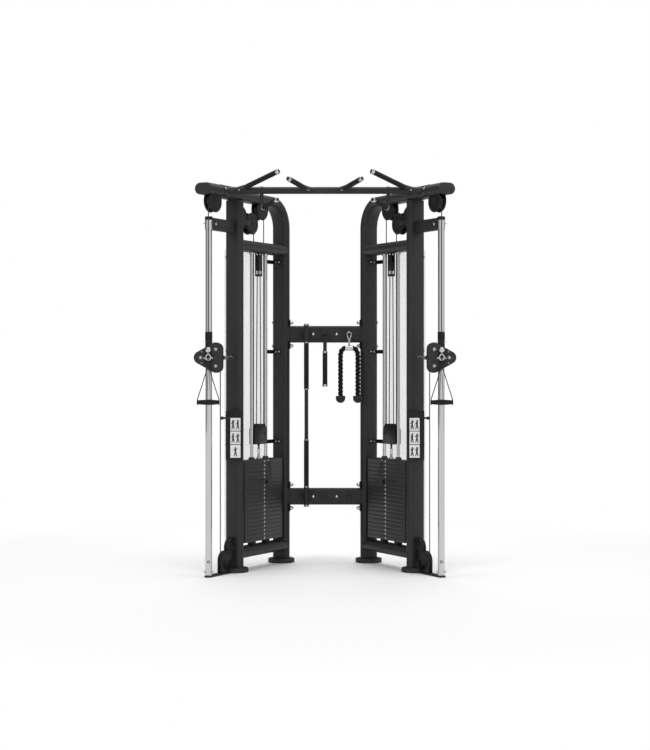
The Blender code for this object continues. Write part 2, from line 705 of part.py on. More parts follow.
def carriage(tag, side):
    at = front(side)
    bore = COLUMN_R + GAP
    low, high = SLEEVE_Z
    profile = [(bore, low), (SLEEVE_R - 0.003, low), (SLEEVE_R, low + 0.004), (SLEEVE_R, high - 0.004),
               (SLEEVE_R - 0.003, high), (bore, high)]
    sleeve = turned(at(0, 0, 0), Vector((0, 0, 1)), profile, 20)

    def face_on(p, q, h):
        return at(p, h, CARRIAGE_Z + q)
    outline = lobes(LOBES, LOBE_R, 18)
    add = [plate(face_on, outline, *FRONT_PLATE_Y), plate(face_on, outline, *REAR_PLATE_Y)]
    for x, z in LOBES:
        add.append(rod(at(x, FRONT_PLATE_Y[1] - 0.003, CARRIAGE_Z + z),
                       at(x, REAR_PLATE_Y[0] + 0.003, CARRIAGE_Z + z), SPACER_R, 10))
    add.append(block(at, (LEVER_BOSS_X[0], LEVER_BOSS_Y, CARRIAGE_Z - 0.013),
                     (LEVER_BOSS_X[1], REAR_PLATE_Y[0] + 0.002, CARRIAGE_Z + 0.013)))
    rise_x = RISE_U * CU
    rise_y = RISE_U * SU
    add.append(block(at, (rise_x - 0.008, REAR_PLATE_Y[1] - 0.002, 1.238), (rise_x + 0.008, rise_y + 0.008, 1.262)))
    lug_low = high - 0.050
    add.append(block(at, (-0.009, -CABLE_FRONT - 0.008, lug_low), (0.009, -bore - 0.003, high - 0.0005)))
    stalk = rod(at(0, BALL_Y, BALL_Z), at(0, -bore - 0.003, BALL_Z), 0.007, 12)
    ball = turned(at(0, BALL_Y, BALL_Z), Vector((1, 0, 0)),
                  [(0, -BALL_R)] + [(BALL_R * math.sin(math.radians(30 * i)), -BALL_R * math.cos(math.radians(30 * i)))
                                    for i in range(1, 6)] + [(0, BALL_R)], 12)
    cut = [rod(at(0.02, LEVER_Y, CARRIAGE_Z), at(0.12, LEVER_Y, CARRIAGE_Z), LEVER_R + GAP, 16)]
    node(tag + "carriage", sleeve, BLACK, at(0, 0, CARRIAGE_Z), add + [stalk, ball], cut)


def release_lever(tag, side):
    at = front(side)
    start = at(0.045, LEVER_Y, CARRIAGE_Z)
    axis = at(1, LEVER_Y, CARRIAGE_Z) - at(0, LEVER_Y, CARRIAGE_Z)
    shoulder = LEVER_BOSS_X[1] + GAP - 0.045
    profile = [(0, 0), (LEVER_R, 0), (LEVER_R, shoulder), (0.011, shoulder), (0.011, shoulder + 0.016),
               (0.006, shoulder + 0.020), (0, shoulder + 0.020)]
    blade = block(at, (0.098, LEVER_Y - 0.007, CARRIAGE_Z - 0.004), (0.138, LEVER_Y + 0.007, CARRIAGE_Z + 0.004))
    node(tag + "release_lever", turned(start, axis, profile, 16), CHROME, start, [blade])


def handle(tag, side):
    at = front(side)
    hub = at(0, BALL_Y, BALL_Z)
    top = BALL_Z - BALL_R - GAP - LINK_R
    low = STRAP_TOP_Z + STRAP_THICK
    r = 0.0095
    link = [(p, q) for p, q in arc((0, top - r), r, 0, 180, 6) + arc((0, low + r), r, 180, 360, 6)]
    ring = sweep([at(p, BALL_Y, q) for p, q in link], circle(LINK_R, 8), Vector((0, 1, 0)), True)
    half = GRIP_LONG / 2
    grip_profile = [(0, -half), (GRIP_R + 0.005, -half), (GRIP_R + 0.005, -half + 0.006), (GRIP_R, -half + 0.007),
                    (GRIP_R, half - 0.007), (GRIP_R + 0.005, half - 0.006), (GRIP_R + 0.005, half), (0, half)]
    grip = turned(at(0, BALL_Y, GRIP_Z), Vector((1, 0, 0)), grip_profile, 14)
    w = STRAP_WIDE / 2
    t = STRAP_THICK / 2
    marks = ((-half + 0.004, GRIP_Z), (-half + 0.004, GRIP_Z + 0.03), (-STRAP_TOP_HALF, STRAP_TOP_Z),
             (STRAP_TOP_HALF, STRAP_TOP_Z), (half - 0.004, GRIP_Z + 0.03), (half - 0.004, GRIP_Z))
    strap = sweep([at(p, BALL_Y, q) for p, q in marks], [(-w, -t), (w, -t), (w, t), (-w, t)], Vector((0, 1, 0)))
    node(tag + "handle", strap, RUBBER, hub, [grip, ring])


def cable(tag, side):
    at = tower(side)
    spots = []

    def wrap(u, z, radius, start, end, n=0.0):
        steps = max(2, math.ceil(abs(end - start) / 26))
        turn = (end - start) / steps
        outer = radius / math.cos(math.radians(turn / 2))
        turns = [(start, radius)] + [(start + turn * (i + 0.5), outer) for i in range(steps)] + [(end, radius)]
        for angle, r in turns:
            spots.append((u + r * math.cos(math.radians(angle)), n, z + r * math.sin(math.radians(angle))))

    spots.append((CABLE_U, CABLE_N, SLEEVE_Z[1] + GAP))
    wrap(TOP_FRONT_U, TOP_PULLEY_Z, PATH_R, 180, 90, CABLE_N)
    wrap(TOP_REAR_U, TOP_PULLEY_Z, PATH_R, 90, 0)
    wrap(STACK_U + SMALL_U, SMALL_Z, SMALL_PATH_R, 0, -180)
    wrap(STACK_U, SADDLE_Z, SMALL_PATH_R, 0, 180)
    wrap(STACK_U - SMALL_U, SMALL_Z, SMALL_PATH_R, 0, -180)
    slope = math.degrees(math.atan2(UPRIGHT_PULLEY_Z - MID_Z, UPRIGHT_PULLEY_U - MID_U))
    wrap(MID_U, MID_Z, PATH_R, 0, slope - 90)
    wrap(UPRIGHT_PULLEY_U, UPRIGHT_PULLEY_Z, PATH_R, slope - 90, 180)
    lean = math.degrees(math.atan2(BASE_LOW_Z - BASE_HIGH_Z, BASE_LOW_U - BASE_HIGH_U))
    wrap(BASE_HIGH_U, BASE_HIGH_Z, PATH_R, 0, lean + 90)
    wrap(BASE_LOW_U, BASE_LOW_Z, PATH_R, lean + 90, -180)
    spots.append((RISE_U, 0.0, 1.238 - GAP))
    path = [at(*s) for s in spots]
    up = at(0, 1, 0) - at(0, 0, 0)
    node(tag + "cable", sweep(path, circle(CABLE_R, 6), up), RUBBER, path[0])


def crossbeam(name, z):
    low = z - BEAM_HIGH / 2
    high = z + BEAM_HIGH / 2
    reach = REAR_X - 0.012
    outline = round_box(BEAM_DEEP, BEAM_HIGH, 0.012, 3)

    def end_on(p, q, h):
        return Vector((h, BEAM_Y + p, z + q))
    body = plate(end_on, outline, -reach, reach)
    add = []
    for sign in (-1, 1):
        inner = sign * (FLANGE_X - 0.004)
        outer = sign * (FLANGE_X + 0.004)
        add.append(block(level, (min(inner, outer), BEAM_Y - 0.036, z - FLANGE_HIGH / 2),
                         (max(inner, outer), BEAM_Y + 0.030, z + FLANGE_HIGH / 2)))
    for x in PEG_X:
        root = Vector((x, BEAM_FACE + 0.004, z))
        add.append(rod(root, Vector((x, HANG_Y - 0.018, z)), PEG_R, 12))
    cut = []
    for side in (-1, 1):
        at = tower(side)
        section = stadium(TUBE_WIDE + 2 * GAP, TUBE_DEEP + 2 * GAP)
        cut.append(loft([[at(REAR_U + b, a, h) for a, b in section] for h in (low - 0.08, high + 0.08)]))
    add.append(block(level, (LONG_BAR_X - 0.010, HANG_Y + LONG_END_R + GAP, z - 0.012),
                     (LONG_BAR_X + 0.010, BEAM_FACE + 0.004, z)))
    node(name, body, COAT, Vector((0, BEAM_Y, z)), add, cut)


def chin_up_bar():
    bar = rod(Vector((-CHIN_HALF, CHIN_Y, CHIN_Z)), Vector((CHIN_HALF, CHIN_Y, CHIN_Z)), CHIN_R, 16)
    add = []
    cut = []
    section = stadium(TUBE_WIDE + 2 * GAP, TUBE_DEEP + 2 * GAP)
    for side in (-1, 1):
        at = tower(side)
        cut.append(loft([[at(u, a, TOP_Z + b) for a, b in section] for u in (CHIN_U - 0.15, CHIN_U + 0.15)]))
        outer = (Vector((side * 0.515, CHIN_Y, CHIN_Z)), Vector((side * 0.2707, CHIN_Y - 0.140, CHIN_Z + 0.0995)))
        inner = (Vector((side * 0.095, CHIN_Y, CHIN_Z)), Vector((side * 0.2177, CHIN_Y - 0.165, CHIN_Z + 0.0525)))
        add.append(rod(*outer, CHIN_GRIP_R, 12))
        add.append(rod(*inner, CHIN_GRIP_R, 12))
        root = Vector((side * DROP_GRIP_X[0], CHIN_Y, CHIN_Z - DROP_GRIP_DOWN[0]))
        tip = Vector((side * DROP_GRIP_X[1], CHIN_Y - DROP_GRIP_FORWARD, CHIN_Z - DROP_GRIP_DOWN[1]))
        cap = Vector((root.x, CHIN_Y, CHIN_Z + CHIN_R + DROP_POST_PROUD))
        add.append(rod(Vector((root.x, CHIN_Y, root.z - CHIN_GRIP_R)), cap, DROP_POST_R, 12))
        add.append(rod(root, tip, CHIN_GRIP_R, 12))
    node("chin_up_bar", bar, COAT, Vector((0, CHIN_Y, CHIN_Z)), add, cut)


def accessories():
    low, high = LONG_BAR_Z
    e = LONG_END_R
    g = LONG_GRIP_R
    (a, b), (c, d) = LONG_GRIP_Z
    profile = [(0, low), (e, low), (e, a), (g, a + 0.002), (g, b - 0.002), (LONG_R, b), (LONG_R, c), (g, c + 0.002),
               (g, d - 0.002), (e, d), (e, high), (0, high)]
    centre = Vector((LONG_BAR_X, HANG_Y, 0))
    up = Vector((0, 0, 1))
    lug = block(level, (LONG_BAR_X - 0.007, HANG_Y + 0.008, BEAM_UPPER_Z + GAP),
                (LONG_BAR_X + 0.007, HANG_Y + 0.034, BEAM_UPPER_Z + 0.016))
    node("long_bar", turned(centre, up, profile, 12), COAT, Vector((LONG_BAR_X, HANG_Y, BEAM_UPPER_Z)), [lug])

    low, high = SHORT_BAR_Z
    eye_in = PEG_R + 0.0015
    eye_z = BEAM_UPPER_Z - 0.0012
    s = SHORT_R
    g = SHORT_GRIP_R
    top = eye_z - eye_in - 0.003
    profile = [(0, low), (g + 0.002, low), (g + 0.002, low + 0.014), (g, low + 0.016), (g, 1.330), (g + 0.002, 1.331),
               (g + 0.002, 1.339), (s, 1.341), (s, top - 0.006), (s - 0.004, top), (0, top)]
    centre = Vector((0, HANG_Y, 0))
    eye = turned(Vector((0, HANG_Y, eye_z)), Vector((0, 1, 0)),
                 [(eye_in, -0.005), (eye_in + 0.006, -0.005), (eye_in + 0.006, 0.005), (eye_in, 0.005)], 14)
    node("short_bar", turned(centre, up, profile, 12), COAT, Vector((0, HANG_Y, BEAM_UPPER_Z)), [eye])

    x = ROPE_X
    bend = 0.026
    left = arc((x - ROPE_HALF + bend, ROPE_TOP_Z - bend), bend, 180, 90, 5)
    right = arc((x + ROPE_HALF - bend, ROPE_TOP_Z - bend), bend, 90, 0, 5)
    marks = [(x - ROPE_HALF, ROPE_LOW_Z), (x - ROPE_HALF, 1.19)] + left + right
    marks += [(x + ROPE_HALF, 1.19), (x + ROPE_HALF, ROPE_LOW_Z)]
    rope = sweep([Vector((p, HANG_Y, q)) for p, q in marks], circle(ROPE_R, 8), Vector((0, 1, 0)))
    tube = rod(Vector((x - 0.0285, HANG_Y, ROPE_TOP_Z)), Vector((x + 0.0285, HANG_Y, ROPE_TOP_Z)), ROPE_R + 0.003, 16)
    add = [tube]
    for sign in (-1, 1):
        cup = [(0, 0.016), (CUP_R, 0.016), (CUP_R, 0.004), (0.027, -0.012), (0.016, -0.025), (0, -0.030)]
        add.append(turned(Vector((x + sign * ROPE_HALF, HANG_Y, ROPE_LOW_Z)), up, cup, 12))
    r = 0.011
    link_top = BEAM_UPPER_Z + PEG_R + 2 * GAP + LINK_R
    link_low = ROPE_TOP_Z + ROPE_R + 0.004
    link = arc((x, link_top - r), r, 0, 180, 6) + arc((x, link_low + r), r, 180, 360, 6)
    add.append(sweep([Vector((p, HANG_Y, q)) for p, q in link], circle(LINK_R, 6), Vector((0, 1, 0)), True))
    node("triceps_rope", rope, RUBBER, Vector((x, HANG_Y, BEAM_UPPER_Z)), add)


def build_tower(tag, side):
    at = tower(side)
    front_upright(tag, side, at)
    rear_frame(tag, at)
    ties(tag, at)
    foot(tag + "front_foot", at, FRONT_U)
    foot(tag + "rear_foot", at, REAR_U)
    column(tag, at)
    column_base(tag, at)
    guide_rods(tag, at)
    shroud(tag, at)
    weights(tag, at)
    selector(tag, at)
    carriage(tag, side)
    release_lever(tag, side)
    handle(tag, side)
    wheel(tag + "front_top_pulley", at, TOP_FRONT_U, TOP_PULLEY_Z, CABLE_N)
    wheel(tag + "rear_pulley", at, TOP_REAR_U, TOP_PULLEY_Z)
    wheel(tag + "mid_pulley", at, MID_U, MID_Z)
    wheel(tag + "upright_pulley", at, UPRIGHT_PULLEY_U, UPRIGHT_PULLEY_Z)
    wheel(tag + "bottom_pulley_upper", at, BASE_HIGH_U, BASE_HIGH_Z)
    wheel(tag + "bottom_pulley_lower", at, BASE_LOW_U, BASE_LOW_Z)
    small = SMALL_PATH_R - CABLE_R - GAP
    for word, sign in (("front", -1), ("rear", 1)):
        wheel(f"{tag}stack_pulley_{word}", at, STACK_U + sign * SMALL_U, SMALL_Z, 0.0, small, SMALL_FLANGE_R,
              SMALL_WIDE, SMALL_AXLE_R, 14)
    cable(tag, side)


build_tower("left_", -1)
build_tower("right_", 1)
crossbeam("upper_crossbeam", BEAM_UPPER_Z)
crossbeam("lower_crossbeam", BEAM_LOWER_Z)
chin_up_bar()
accessories()
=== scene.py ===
import math

import bmesh
import bpy
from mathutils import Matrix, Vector


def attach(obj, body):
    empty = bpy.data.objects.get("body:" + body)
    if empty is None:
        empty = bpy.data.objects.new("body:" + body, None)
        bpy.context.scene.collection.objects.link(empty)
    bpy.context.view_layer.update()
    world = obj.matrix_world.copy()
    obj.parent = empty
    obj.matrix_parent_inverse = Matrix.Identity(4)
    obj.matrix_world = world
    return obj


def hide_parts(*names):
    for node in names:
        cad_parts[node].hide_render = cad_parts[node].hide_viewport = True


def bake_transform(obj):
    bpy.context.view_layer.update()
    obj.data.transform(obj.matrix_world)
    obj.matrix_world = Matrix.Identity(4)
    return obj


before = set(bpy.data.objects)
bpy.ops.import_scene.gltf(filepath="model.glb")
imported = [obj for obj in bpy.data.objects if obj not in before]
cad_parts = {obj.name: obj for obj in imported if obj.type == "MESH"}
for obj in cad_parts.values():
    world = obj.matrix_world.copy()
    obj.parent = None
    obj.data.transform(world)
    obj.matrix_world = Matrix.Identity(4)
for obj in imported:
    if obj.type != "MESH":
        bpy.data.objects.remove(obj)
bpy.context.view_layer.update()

# Camera: level, at chest height and far back, so the uprights stay parallel in the picture.
# The lens and distance come from the slopes of the two towers' feet and ties.
column_plane = -0.3834848
picture_high = 750.0
focal_pixels = 1623.0
sensor_high = 36.0
eye_back = 9.58
eye_z = 1.211
eye = bpy.data.cameras.new("photo camera")
eye.sensor_fit = "VERTICAL"
eye.sensor_height = sensor_high
eye.lens = focal_pixels / picture_high * sensor_high
eye.shift_y = -3.0 / picture_high
eye_object = bpy.data.objects.new("photo camera", eye)
eye_object.location = (0.0, column_plane - eye_back, eye_z)
eye_object.rotation_euler = (math.radians(90), 0, 0)
bpy.context.scene.collection.objects.link(eye_object)
bpy.context.scene.camera = eye_object
bpy.context.scene.view_settings.view_transform = "Standard"


# Studio: a white sweep whose matt floor keeps the soft shadows near the feet and fades to plain white.
# The room is lighter on the camera's side than behind, with broad softboxes all round and overhead.
def add_node(tree, kind, inputs, **settings):
    made = tree.nodes.new(kind)
    for key, value in settings.items():
        setattr(made, key, value)
    for key, value in inputs.items():
        source = value.outputs[0] if isinstance(value, bpy.types.Node) else value
        if isinstance(source, bpy.types.NodeSocket):
            tree.links.new(source, made.inputs[key])
        else:
            made.inputs[key].default_value = source
    return made


def combine(tree, how, first, second):
    return add_node(tree, "ShaderNodeMath", {0: first, 1: second}, operation=how)


white = (1.0, 1.0, 1.0, 1.0)
sky = bpy.data.worlds.new("studio white")
bpy.context.scene.world = sky
sky.use_nodes = True
room = sky.node_tree
sky_place = add_node(room, "ShaderNodeTexCoord", {}).outputs["Generated"]
sky_side = add_node(room, "ShaderNodeVectorMath", {0: sky_place, 1: (0.50, -1.0, 0.15)},
                    operation="DOT_PRODUCT").outputs["Value"]
sky_level = add_node(room, "ShaderNodeMapRange", {"Value": sky_side, "From Min": -0.8, "From Max": 1.0,
                                                  "To Min": 0.14, "To Max": 0.60})
sky_mirror = add_node(room, "ShaderNodeMapRange", {"Value": sky_side, "From Min": -0.8, "From Max": 0.9,
                                                   "To Min": 0.02, "To Max": 0.92})
sky_path = add_node(room, "ShaderNodeLightPath", {}).outputs
sky_either = combine(room, "MAXIMUM", sky_path["Is Camera Ray"], sky_path["Is Transmission Ray"])
sky_gloss = combine(room, "MULTIPLY", sky_path["Is Glossy Ray"], sky_mirror)
sky_any = combine(room, "MAXIMUM", sky_either, sky_gloss)
sky_light = room.nodes["Background"]
sky_light.inputs["Color"].default_value = white
room.links.new(sky_level.outputs["Result"], sky_light.inputs["Strength"])
sky_seen = add_node(room, "ShaderNodeBackground", {"Color": white})
sky_mix = add_node(room, "ShaderNodeMixShader", {0: sky_any, 1: sky_light, 2: sky_seen})
room.links.new(sky_mix.outputs[0], room.nodes["World Output"].inputs["Surface"])

floor_mesh = bpy.data.meshes.new("studio_floor")
floor_mesh.from_pydata([(-14, -12, 0), (14, -12, 0), (14, 14, 0), (-14, 14, 0)], [], [(0, 1, 2, 3)])
floor_piece = bpy.data.objects.new("studio_floor", floor_mesh)
bpy.context.scene.collection.objects.link(floor_piece)
floor_look = bpy.data.materials.new("studio floor")
floor_look.use_nodes = True
sweep = floor_look.node_tree
floor_shader = sweep.nodes["Principled BSDF"]
floor_shader.inputs["Base Color"].default_value = (0.88, 0.88, 0.883, 1.0)
floor_shader.inputs["Roughness"].default_value = 0.55
floor_place = add_node(sweep, "ShaderNodeTexCoord", {}).outputs["Object"]
floor_far = add_node(sweep, "ShaderNodeVectorMath", {0: floor_place}, operation="LENGTH").outputs["Value"]
floor_ramp = add_node(sweep, "ShaderNodeMapRange", {"Value": floor_far, "From Min": 0.9, "From Max": 3.4})
floor_path = add_node(sweep, "ShaderNodeLightPath", {}).outputs
floor_seen = combine(sweep, "MAXIMUM", floor_path["Is Camera Ray"], floor_path["Is Glossy Ray"])
floor_fade = combine(sweep, "MULTIPLY", floor_ramp, floor_seen)
floor_white = add_node(sweep, "ShaderNodeEmission", {})
floor_mix = add_node(sweep, "ShaderNodeMixShader", {0: floor_fade, 1: floor_shader, 2: floor_white})
sweep.links.new(floor_mix.outputs[0], sweep.nodes["Material Output"].inputs["Surface"])
floor_mesh.materials.append(floor_look)

for place, spot, aim, wide, high, power, mirrored in (
        ("left", (-2.8, -2.6, 4.4), (0, 0, 1.0), 2.4, 3.0, 96, False),
        ("right", (3.0, -2.4, 4.2), (0, 0, 1.0), 2.4, 3.0, 90, False),
        ("overhead", (0, 0.9, 5.2), (0, 0, 0), 4.0, 3.0, 118, True),
        ("back", (0, 3.6, 3.6), (0, 0, 0.4), 4.0, 2.0, 95, False)):
    lamp = bpy.data.lights.new(place + " softbox", "AREA")
    lamp.shape = "RECTANGLE"
    lamp.size = wide
    lamp.size_y = high
    lamp.energy = power
    box = bpy.data.objects.new(place + " softbox", lamp)
    box.location = spot
    box.rotation_euler = (Vector(aim) - Vector(spot)).to_track_quat("-Z", "Y").to_euler()
    box.visible_glossy = mirrored
    bpy.context.scene.collection.objects.link(box)

# Feet: moulded black rubber discs with a rounded rim, one pushed under each upright.
# The towers stand at 62 degrees in plan: u runs back along a tower, n points to the inner front.
tower_turn = math.radians(62.0)
plan_c = math.cos(tower_turn)
plan_s = math.sin(tower_turn)
column_x = 0.686
front_u = 0.296
rear_u = 0.868
up_line = Vector((0, 0, 1))
sides = (("left", -1), ("right", 1))


def tower(side):
    def at(u, n, z):
        x = side * (column_x - u * plan_c - n * plan_s)
        return Vector((x, u * plan_s - n * plan_c + column_plane, z))
    return at


def soften(points, radius, closed=True, steps=3):
    out = []
    total = len(points)
    for i, p in enumerate(points):
        if not closed and i in (0, total - 1):
            out.append(p)
            continue
        b = Vector(p)
        back = Vector(points[i - 1]) - b
        ahead = Vector(points[(i + 1) % total]) - b
        cut = min(radius, back.length * 0.45, ahead.length * 0.45)
        first = b + back.normalized() * cut
        last = b + ahead.normalized() * cut
        for k in range(steps + 1):
            t = k / steps
            out.append(tuple(first * (1 - t) ** 2 + b * 2 * t * (1 - t) + last * t * t))
    return out


def ring(radius, segs):
    turns = [2 * math.pi * i / segs for i in range(segs)]
    return [(radius * math.cos(t), radius * math.sin(t)) for t in turns]


def lathe(centre, axis, profile, segs=48):
    axis = axis.normalized()
    helper = up_line if abs(axis.z) < 0.9 else Vector((1, 0, 0))
    first = axis.cross(helper).normalized()
    second = axis.cross(first)
    points = []
    spans = []
    for r, h in profile:
        if r < 1e-6:
            spans.append([len(points)] * segs)
            points.append(centre + axis * h)
        else:
            spans.append(list(range(len(points), len(points) + segs)))
            points += [centre + axis * h + (first * a + second * b) * r for a, b in ring(1.0, segs)]
    faces = []
    open_ended = profile[0][0] < 1e-6
    for k in range(len(spans) - (1 if open_ended else 0)):
        one = spans[k]
        two = spans[(k + 1) % len(spans)]
        for i in range(segs):
            j = (i + 1) % segs
            face = list(dict.fromkeys((one[i], one[j], two[j], two[i])))
            if len(face) > 2:
                faces.append(face)
    return points, faces


def piece(name, made, look, body="frame", stands_for=(), ease=0.0, smooth=34, segments=2):
    mesh = bpy.data.meshes.new(name)
    mesh.from_pydata([tuple(p) for p in made[0]], [], [tuple(f) for f in made[1]])
    work = bmesh.new()
    work.from_mesh(mesh)
    bmesh.ops.remove_doubles(work, verts=work.verts, dist=1e-6)
    bmesh.ops.recalc_face_normals(work, faces=work.faces)
    if ease:
        sharp = [e for e in work.edges if len(e.link_faces) == 2 and e.calc_face_angle(0) > math.radians(40)]
        bmesh.ops.bevel(work, geom=sharp, offset=ease, segments=segments, profile=0.5, affect="EDGES",
                        clamp_overlap=True)
    work.to_mesh(mesh)
    work.free()
    mesh.shade_smooth()
    mesh.set_sharp_from_angle(angle=math.radians(smooth))
    mesh.materials.append(look)
    made_piece = bpy.data.objects.new(name, mesh)
    bpy.context.scene.collection.objects.link(made_piece)
    if body:
        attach(made_piece, body)
    if stands_for:
        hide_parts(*stands_for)
    return made_piece


def surface(name, colour, rough, metal=0.0, grain=900.0, bump=0.1, drift=0.12, stretch=(1, 1, 1),
            depth=0.0004, shine=0.5):
    look = bpy.data.materials.new(name)
    look.use_nodes = True
    tree = look.node_tree
    dark = (*[c * (1 - drift) for c in colour], 1.0)
    pale = (*[min(1.0, c * (1 + drift)) for c in colour], 1.0)
    place = add_node(tree, "ShaderNodeTexCoord", {}).outputs["Object"]
    turn = add_node(tree, "ShaderNodeMapping", {"Vector": place, "Scale": stretch})
    fine = add_node(tree, "ShaderNodeTexNoise", {"Vector": turn, "Scale": grain, "Detail": 3.0})
    broad = add_node(tree, "ShaderNodeTexNoise", {"Vector": place, "Scale": 7.0, "Detail": 4.0})
    tint = add_node(tree, "ShaderNodeMix", {"Factor": broad, "A": dark, "B": pale}, data_type="RGBA")
    sheen = add_node(tree, "ShaderNodeMapRange", {"Value": fine, "To Min": max(0.02, rough * 0.82),
                                                  "To Max": min(1.0, rough * 1.18)})
    relief = add_node(tree, "ShaderNodeBump", {"Height": fine, "Strength": bump, "Distance": depth})
    shader = tree.nodes["Principled BSDF"]
    shader.inputs["Metallic"].default_value = metal
    shader.inputs["Specular IOR Level"].default_value = shine
    tree.links.new(tint.outputs["Result"], shader.inputs["Base Color"])
    tree.links.new(sheen.outputs["Result"], shader.inputs["Roughness"])
    tree.links.new(relief.outputs["Normal"], shader.inputs["Normal"])
    return look


foot_rubber = surface("foot rubber", (0.014, 0.014, 0.015), 0.62, grain=420, bump=0.22)
foot_profile = soften([(0, 0.0), (0.0825, 0.0), (0.0838, 0.0014), (0.0838, 0.0235), (0.0815, 0.0264),
                       (0.072, 0.0276), (0, 0.0276)], 0.0016, False)
for word, side in sides:
    for place, u in (("front", front_u), ("rear", rear_u)):
        foot = lathe(tower(side)(u, 0, 0), up_line, foot_profile, 64)
        piece(f"{word}_{place}_foot_pad", foot, foot_rubber, stands_for=(f"{word}_{place}_foot",))

# Rear frames: one flat-oval steel tube per tower, bent forward at the top into the overhead tube and
# powder coated dark charcoal with a fine orange peel. A rounded nose and a rimmed saddle are welded
# on its front.
powder_coat = surface("charcoal powder coat", (0.0215, 0.0215, 0.0225), 0.46, grain=1300, bump=0.16,
                      drift=0.10, shine=0.28)
tube_wide = 0.114
tube_deep = 0.059
tube_flat = (tube_wide - tube_deep) / 2
tube_foot = 0.0280
top_z = 2.281
bend_r = 0.162


def oval(wide, deep, steps=14):
    r = deep / 2
    flat = wide / 2 - r
    out = []
    for centre, start in ((flat, -90), (-flat, 90)):
        for i in range(steps + 1):
            t = math.radians(start + 180 * i / steps)
            out.append((centre + r * math.cos(t), r * math.sin(t)))
    return out


def skin(rings, closed=False):
    count = len(rings[0])
    total = len(rings)
    points = [p for r in rings for p in r]
    faces = []
    for r in range(total if closed else total - 1):
        s = (r + 1) % total
        for i in range(count):
            j = (i + 1) % count
            faces.append((r * count + i, r * count + j, s * count + j, s * count + i))
    if not closed:
        faces.append(tuple(range(count)))
        faces.append(tuple(range((total - 1) * count, total * count)))
    return points, faces


sleeve_deep = 0.068
sleeve_rise = 0.0085
sleeve_steps = ((0.1000, 0.0018), (-0.0590, 0.0018), (-0.0618, 0.0012), (-0.0640, -0.0008),
                (-0.0652, -0.0046), (-0.0658, -0.0095))
saddle_steps = ((0.0900, 0.0), (0.0902, 0.0058), (0.0915, 0.0070), (0.0960, 0.0070), (0.0980, 0.0052),
                (0.2350, 0.0052), (0.2550, 0.0036), (0.2600, 0.0))
tube_section = oval(tube_wide, tube_deep)
for word, side in sides:
    at = tower(side)
    stations = [(rear_u, tube_foot, 0.0), (rear_u, 1.0, 0.0)]
    for i in range(25):
        turn = math.radians(90 * i / 24)
        stations.append((rear_u - bend_r + bend_r * math.cos(turn),
                         top_z - bend_r + bend_r * math.sin(turn), turn))
    stations += [(0.30, top_z, math.pi / 2), (0.12, top_z, math.pi / 2)]
    rings = [[at(u + b * math.cos(turn), a, z + b * math.sin(turn)) for a, b in tube_section]
             for u, z, turn in stations]
    piece(f"{word}_rear_frame_tube", skin(rings), powder_coat, stands_for=(f"{word}_rear_frame",))
    for part, steps in (("top_tube_nose", sleeve_steps), ("top_tube_saddle", saddle_steps)):
        rings = [[at(u, a, top_z + sleeve_rise + b) for a, b in oval(tube_wide + grow, sleeve_deep + grow)]
                 for u, grow in steps]
        piece(f"{word}_{part}", skin(rings), powder_coat)

# Front uprights: straight lengths of the same tube, capped under the overhead tube, with a short arm
# that is welded on and clamps the chrome column.
arm_z = 2.087
arm_half = 0.036
guide_z = 0.935


def rod(start, end, radius, segs=32, ease=0.0):
    long = (end - start).length
    profile = [(0, 0), (radius, 0), (radius, long), (0, long)]
    return lathe(start, end - start, soften(profile, ease, False) if ease else profile, segs)


def joined(parts):
    points = []
    faces = []
    for more_points, more_faces in parts:
        shift = len(points)
        points += more_points
        faces += [[i + shift for i in f] for f in more_faces]
    return points, faces


def block(at, lo, hi):
    corners = ((0, 0), (1, 0), (1, 1), (0, 1))
    ends = (lo, hi)
    return skin([[at(ends[i][0], ends[j][1], end[2]) for i, j in corners] for end in ends])


def slab(at, outline, lo, hi):
    return skin([[at(p, q, h) for p, q in outline] for h in (lo, hi)])


for word, side in sides:
    at = tower(side)
    rings = [[at(front_u + b, a, z) for a, b in tube_section] for z in (tube_foot, 1.1, 2.2511)]
    piece(f"{word}_front_upright_tube", skin(rings), powder_coat, stands_for=(f"{word}_front_upright",))
    arm = block(at, (0.0205, -0.020, arm_z - arm_half), (0.272, 0.020, arm_z + arm_half))
    piece(f"{word}_column_arm", arm, powder_coat, ease=0.005, segments=3)
    tip = at(0.143, 0, guide_z)
    guide = joined((rod(tip, at(0.270, 0, guide_z), 0.006, 24, 0.001),
                    rod(tip, at(0.156, 0, guide_z), 0.010, 24, 0.002)))
    piece(f"{word}_cable_guide", guide, powder_coat)

# Ties: cross tubes between the uprights. The upper one carries a small folded clevis whose round saddle turns
# the cable; the lower one carries the two rubber stack bumpers.
fore_aft = (("front", -1), ("rear", 1))
stack_u = 0.582
rod_reach = 0.085
tie_deep = 0.066
saddle_z = 1.89
bumper_rubber = surface("bumper rubber", (0.012, 0.012, 0.012), 0.7, grain=500, bump=0.25)
black_plastic = surface("moulded black plastic", (0.0105, 0.0105, 0.0110), 0.36, grain=820, bump=0.10,
                        shine=0.22)
cheek_outline = soften([(-0.021, 1.9385), (-0.021, 1.8185), (-0.0165, 1.8185), (-0.0165, 1.838), (0, 1.846),
                        (0.0165, 1.838), (0.0165, 1.8185), (0.021, 1.8185), (0.021, 1.9385)], 0.002)
bumper_profile = soften([(0.0103, 0.1345), (0.0262, 0.1345), (0.0262, 0.145), (0.0235, 0.1515),
                         (0.0262, 0.158), (0.0262, 0.1685), (0.0103, 0.1685)], 0.004)


def edge_on(at, u=0.0, z=0.0):
    return lambda p, q, h: at(u + p, h, z + q)


def both_faces(lo, hi):
    return ("inner", lo, hi), ("outer", -hi, -lo)


